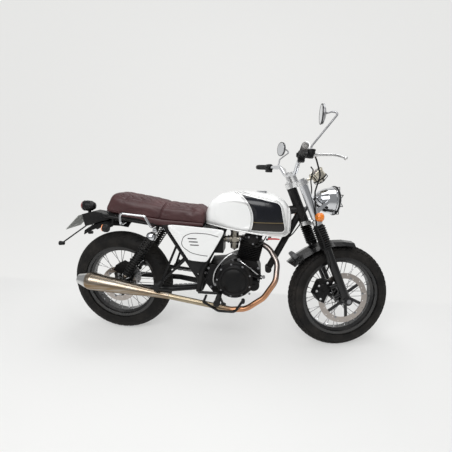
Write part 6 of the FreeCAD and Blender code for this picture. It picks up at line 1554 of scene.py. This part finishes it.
def makeGrip(word, side, end, inward):
    # ribs run along it, as a cosine of the angle on its radius, between a flange and a plain end
    sizes = barSizes
    r, length, bore = sizes["gripRadius"], sizes["gripLength"], sizes["gripBore"]
    ribs = np.linspace(0.012, length - 0.014, 12)
    profile = [(0.0004, bore), (0.0006, r * 0.9), (0.003, r * 1.02), (0.008, r * 1.02), (0.010, r * 0.98)]
    profile += [(place, r * 0.97) for place in ribs]
    profile += [(length - 0.012, r * 0.97), (length - 0.011, r * 1.18), (length - 0.004, r * 1.22),
                (length - 0.001, r * 1.15), (length - 0.0008, bore), (0.0004, bore)]
    grid = lathe(profile, end, inward, 96)[0]
    middle = end + inward * np.array(profile)[:, None, :1]
    ribbed = np.isin(np.array(profile)[:, :1], ribs)
    grow = 1 + sizes["ribHeight"] * ribbed * np.cos(wholeTurn(96) * sizes["gripRibs"])
    grid = middle + (grid - middle) * grow[..., None]
    makePiece(f"{word}_grip", [(grid, True, True)], rubberBlack, "steering", ["grips"] if side > 0 else (),
              sharp=60)


def makeHandControls(side):
    # a grip, a turned end weight, a switch housing of two halves with a clamp and buttons, and an oval lever
    # that thins to a ball; gives back where the lever turns
    sizes = barSizes
    word = "left" if side > 0 else "right"
    end = barPoint(side, 1, 1, 1)
    inward = unit(barPoint(side, *sizes["bend"]) - end)
    makeGrip(word, side, end, inward)
    plug = [(0, 0), (0, 0.0158), (-0.0160, 0.0160), (-0.0198, 0.0140), (-0.0202, 0.0070), (-0.0186, 0.0060),
            (-0.0186, 0)]
    makePiece(f"{word}_bar_plug", [lathe(plug, end, inward, 40)], darkSteel, "steering")
    length, s = sizes["gripLength"], sizes["switchLength"]
    housing = [(0, 0.0118), (0, 0.0185), (0.004, 0.0215), (s * 0.46, 0.0222), (s * 0.48, 0.0212),
               (s * 0.52, 0.0212), (s * 0.54, 0.0222), (s - 0.004, 0.0215), (s, 0.0185), (s, 0.0118)]
    foot = end + inward * (length + s / 2)
    pivot = end + inward * (length + s) + forkAhead * sizes["leverReach"]
    down = -forkUp
    clamp = [foot + inward * 0.010, foot + inward * 0.014 + forkAhead * 0.024, pivot]
    surfaces = [
        lathe(housing, end + inward * (length + 0.0006), inward, 40, True),
        block(foot + down * 0.022 - forkAhead * 0.002, forkAhead * 0.017, inward * 0.019, down * 0.010, 0.3),
        block(foot - forkAhead * 0.021, inward * 0.011, down * 0.008, -forkAhead * 0.005, 0.3, 20),
        pipe(smoothLine(clamp, 5), 0.0105, 16),
        block(pivot, forkAhead * 0.013, inward * 0.013, down * 0.008, 0.3),
    ]
    makePiece(f"{word}_switch_housing", surfaces, plasticBlack, "steering",
              ["hand_controls"] if side > 0 else ())
    reach, out, drop = sizes["lever"]
    line = smoothLine([pivot + forkAhead * a * reach + forkLeft * side * b * out - forkUp * c * drop
                       for a, b, c in sizes["leverShares"]], 8)
    thick = np.interp(np.linspace(0, 1, len(line)), *sizes["leverThick"])
    surfaces = [pipe(line, thick, 14), ball(sizes["ball"], line[-1], unit(line[-1] - line[-3]), 12),
                bolts([pivot + forkUp * 0.0085], forkUp, 0.0055, 0.004)]
    makePiece(f"{word}_lever", surfaces, polishedAlloy, "steering")
    return pivot


def makeReservoir(pivot):
    # the brake's fluid box: a round pot with a screwed lid and a sight glass towards the rider
    pot = [(-0.002, 0), (-0.002, 0.017), (0.004, 0.0195), (0.021, 0.0195), (0.021, 0.0215), (0.0265, 0.0215),
           (0.0285, 0.0185), (0.0285, 0)]
    makePiece("brake_reservoir", [lathe(pot, pivot + forkUp * 0.004, forkUp, 40)], plasticBlack, "steering")
    spots = [pivot + forkUp * 0.0325 + (forkAhead * math.cos(t) + forkLeft * math.sin(t)) * 0.013
             for t in np.radians([20, 140, 260])]
    eye = [(0, 0), (0, 0.006), (0.002, 0.006), (0.003, 0.0045), (0.003, 0)]
    makePiece("reservoir_screws", [bolts(spots, forkUp, 0.0026, 0.0022, 12),
                                   lathe(eye, pivot + forkUp * 0.015 - forkAhead * 0.019, -forkAhead, 20)],
              polishedAlloy, "steering")


gaiterSizes = {"low": 0.6323, "high": 0.7716, "ribs": 10, "peak": 0.0340, "valley": 0.0240, "neck": 0.0262,
               "foot": 0.0245, "bore": 0.0180}


def makeGaiters():
    # a bellows on each fork leg: the radius runs as a sharpened cosine between valley and peak
    sizes = gaiterSizes
    share = np.linspace(0, 1, sizes["ribs"] * 10 + 1)
    ripple = (0.5 - 0.5 * np.cos(share * 2 * np.pi * sizes["ribs"])) ** 0.8
    radius = sizes["valley"] + (sizes["peak"] - sizes["valley"]) * ripple
    length, neck = sizes["high"] - sizes["low"], sizes["neck"]
    bellows = np.stack([share * (length - 0.012) + 0.006, radius], -1)
    profile = np.concatenate([[(0, sizes["foot"]), (0, neck), (0.005, neck)], bellows,
                              [(length - 0.005, neck), (length, neck), (length, sizes["bore"]),
                               (0.003, sizes["bore"])]])
    up = unit(alongFork(0, 0, 1.0) - alongFork(0, 0, 0.0))
    legs = [alongFork(bikePlaces["forkOffset"], side * bikePlaces["legSpread"], sizes["low"])
            for side in (-1, 1)]
    makePiece("gaiter_bellows", [lathe(profile, leg, up, 40, True) for leg in legs], rubberBlack, "steering",
              ["fork_gaiters"], sharp=60)


pivots = {side: makeHandControls(side) for side in (1, -1)}
makeReservoir(pivots[-1])
makeMirrorGlass(pivots)
makeGaiters()
print("controls made")


# floor, backdrop and light

stageSizes = {
    "width": 14.0, "front": -14.0, "top": 5.0,
    "bend": 2.2, "bendRadius": 1.6,       # where the floor starts to rise, and the curve up to the wall
    "crease": 0.34,                       # where the floor's tone meets the wall's
    "shown": 0.86, "floorLess": 0.42,     # how much of the pale tone is unshaded, and how much less on floor
    "world": 0.42,
}
lightSizes = {      # a place, what it is aimed at, its width, height and power
    "keyLight": ((-0.6, -2.6, 3.2), (0, 0, 0.5), 3.2, 1.6, 92),
    "topLight": ((0.3, 0.6, 3.6), (0, 0.1, 0.5), 3.0, 2.0, 66),
}


def makeStage(sizes):
    # a floor that sweeps up into a wall: straight, a quarter circle, straight
    arc = np.linspace(0, math.pi / 2, 25)
    bend, radius = sizes["bend"], sizes["bendRadius"]
    y = np.concatenate([[sizes["front"]], bend + radius * np.sin(arc), [bend + radius]])
    z = np.concatenate([[0], radius * (1 - np.cos(arc)), [sizes["top"]]])
    x = np.array([-sizes["width"], sizes["width"]])[:, None]
    mesh = gridMesh("stage", [(np.stack(np.broadcast_arrays(x, y, z), -1), False, False)])
    smoothFaces(mesh)
    mesh.update()
    stage = linked("stage", mesh)
    p = Paint("stagePaint")
    place = p.place()
    far = p.past(p.part(place, 1), sizes["crease"], 0.01)
    floor = p.mix(p.noise(place, 0.9, 3), (0.80, 0.80, 0.79), (0.85, 0.85, 0.84))
    p.give(base=p.mix(far, floor, (0.82, 0.82, 0.81)), roughness=0.6)
    # the camera, and what shows in metal or through glass, sees part of the tone unshaded
    camera, glossy, through = (p.add("ShaderNodeLightPath", output=f"Is {ray} Ray")
                               for ray in ("Camera", "Glossy", "Transmission"))
    seen = p.math("MAXIMUM", p.math("MAXIMUM", camera, glossy), through)
    shown = seen * (sizes["shown"] - sizes["floorLess"] * (1.0 - far))
    pale = p.mix(far, (0.885, 0.885, 0.875), (0.862, 0.862, 0.850))
    glow = p.add("ShaderNodeEmission", values={"Color": pale})
    shaded = Wire(p, p.shader.outputs[0])
    both = p.add("ShaderNodeMixShader", values={0: shown, 1: shaded, 2: glow})
    p.feed(p.tree.nodes["Material Output"].inputs["Surface"], both)
    stage.data.materials.append(p.material)


def makeLight(name, place, aim, width, height, power):
    # a flat lamp whose back is turned away from what it is aimed at
    data = bpy.data.lights.new(name, "AREA")
    data.shape = "RECTANGLE"
    data.size, data.size_y, data.energy = width, height, power
    back = unit(np.array(place, float) - np.array(aim, float))
    side = unit(np.cross((0, 0, 1), back))
    linked(name, data, [side, np.cross(back, side), back], place)


def makeWorld():
    # pale all round, so that metal has something to show
    world = bpy.data.worlds.new("studio")
    bpy.context.scene.world = world
    world.use_nodes = True
    inputs = world.node_tree.nodes["Background"].inputs
    inputs["Color"].default_value = (0.80, 0.81, 0.82, 1)
    inputs["Strength"].default_value = stageSizes["world"]


makeStage(stageSizes)
makeWorld()
for name, values in lightSizes.items():
    makeLight(name, *values)
bpy.context.scene.view_settings.view_transform = "Standard"
print("stage and lights made")
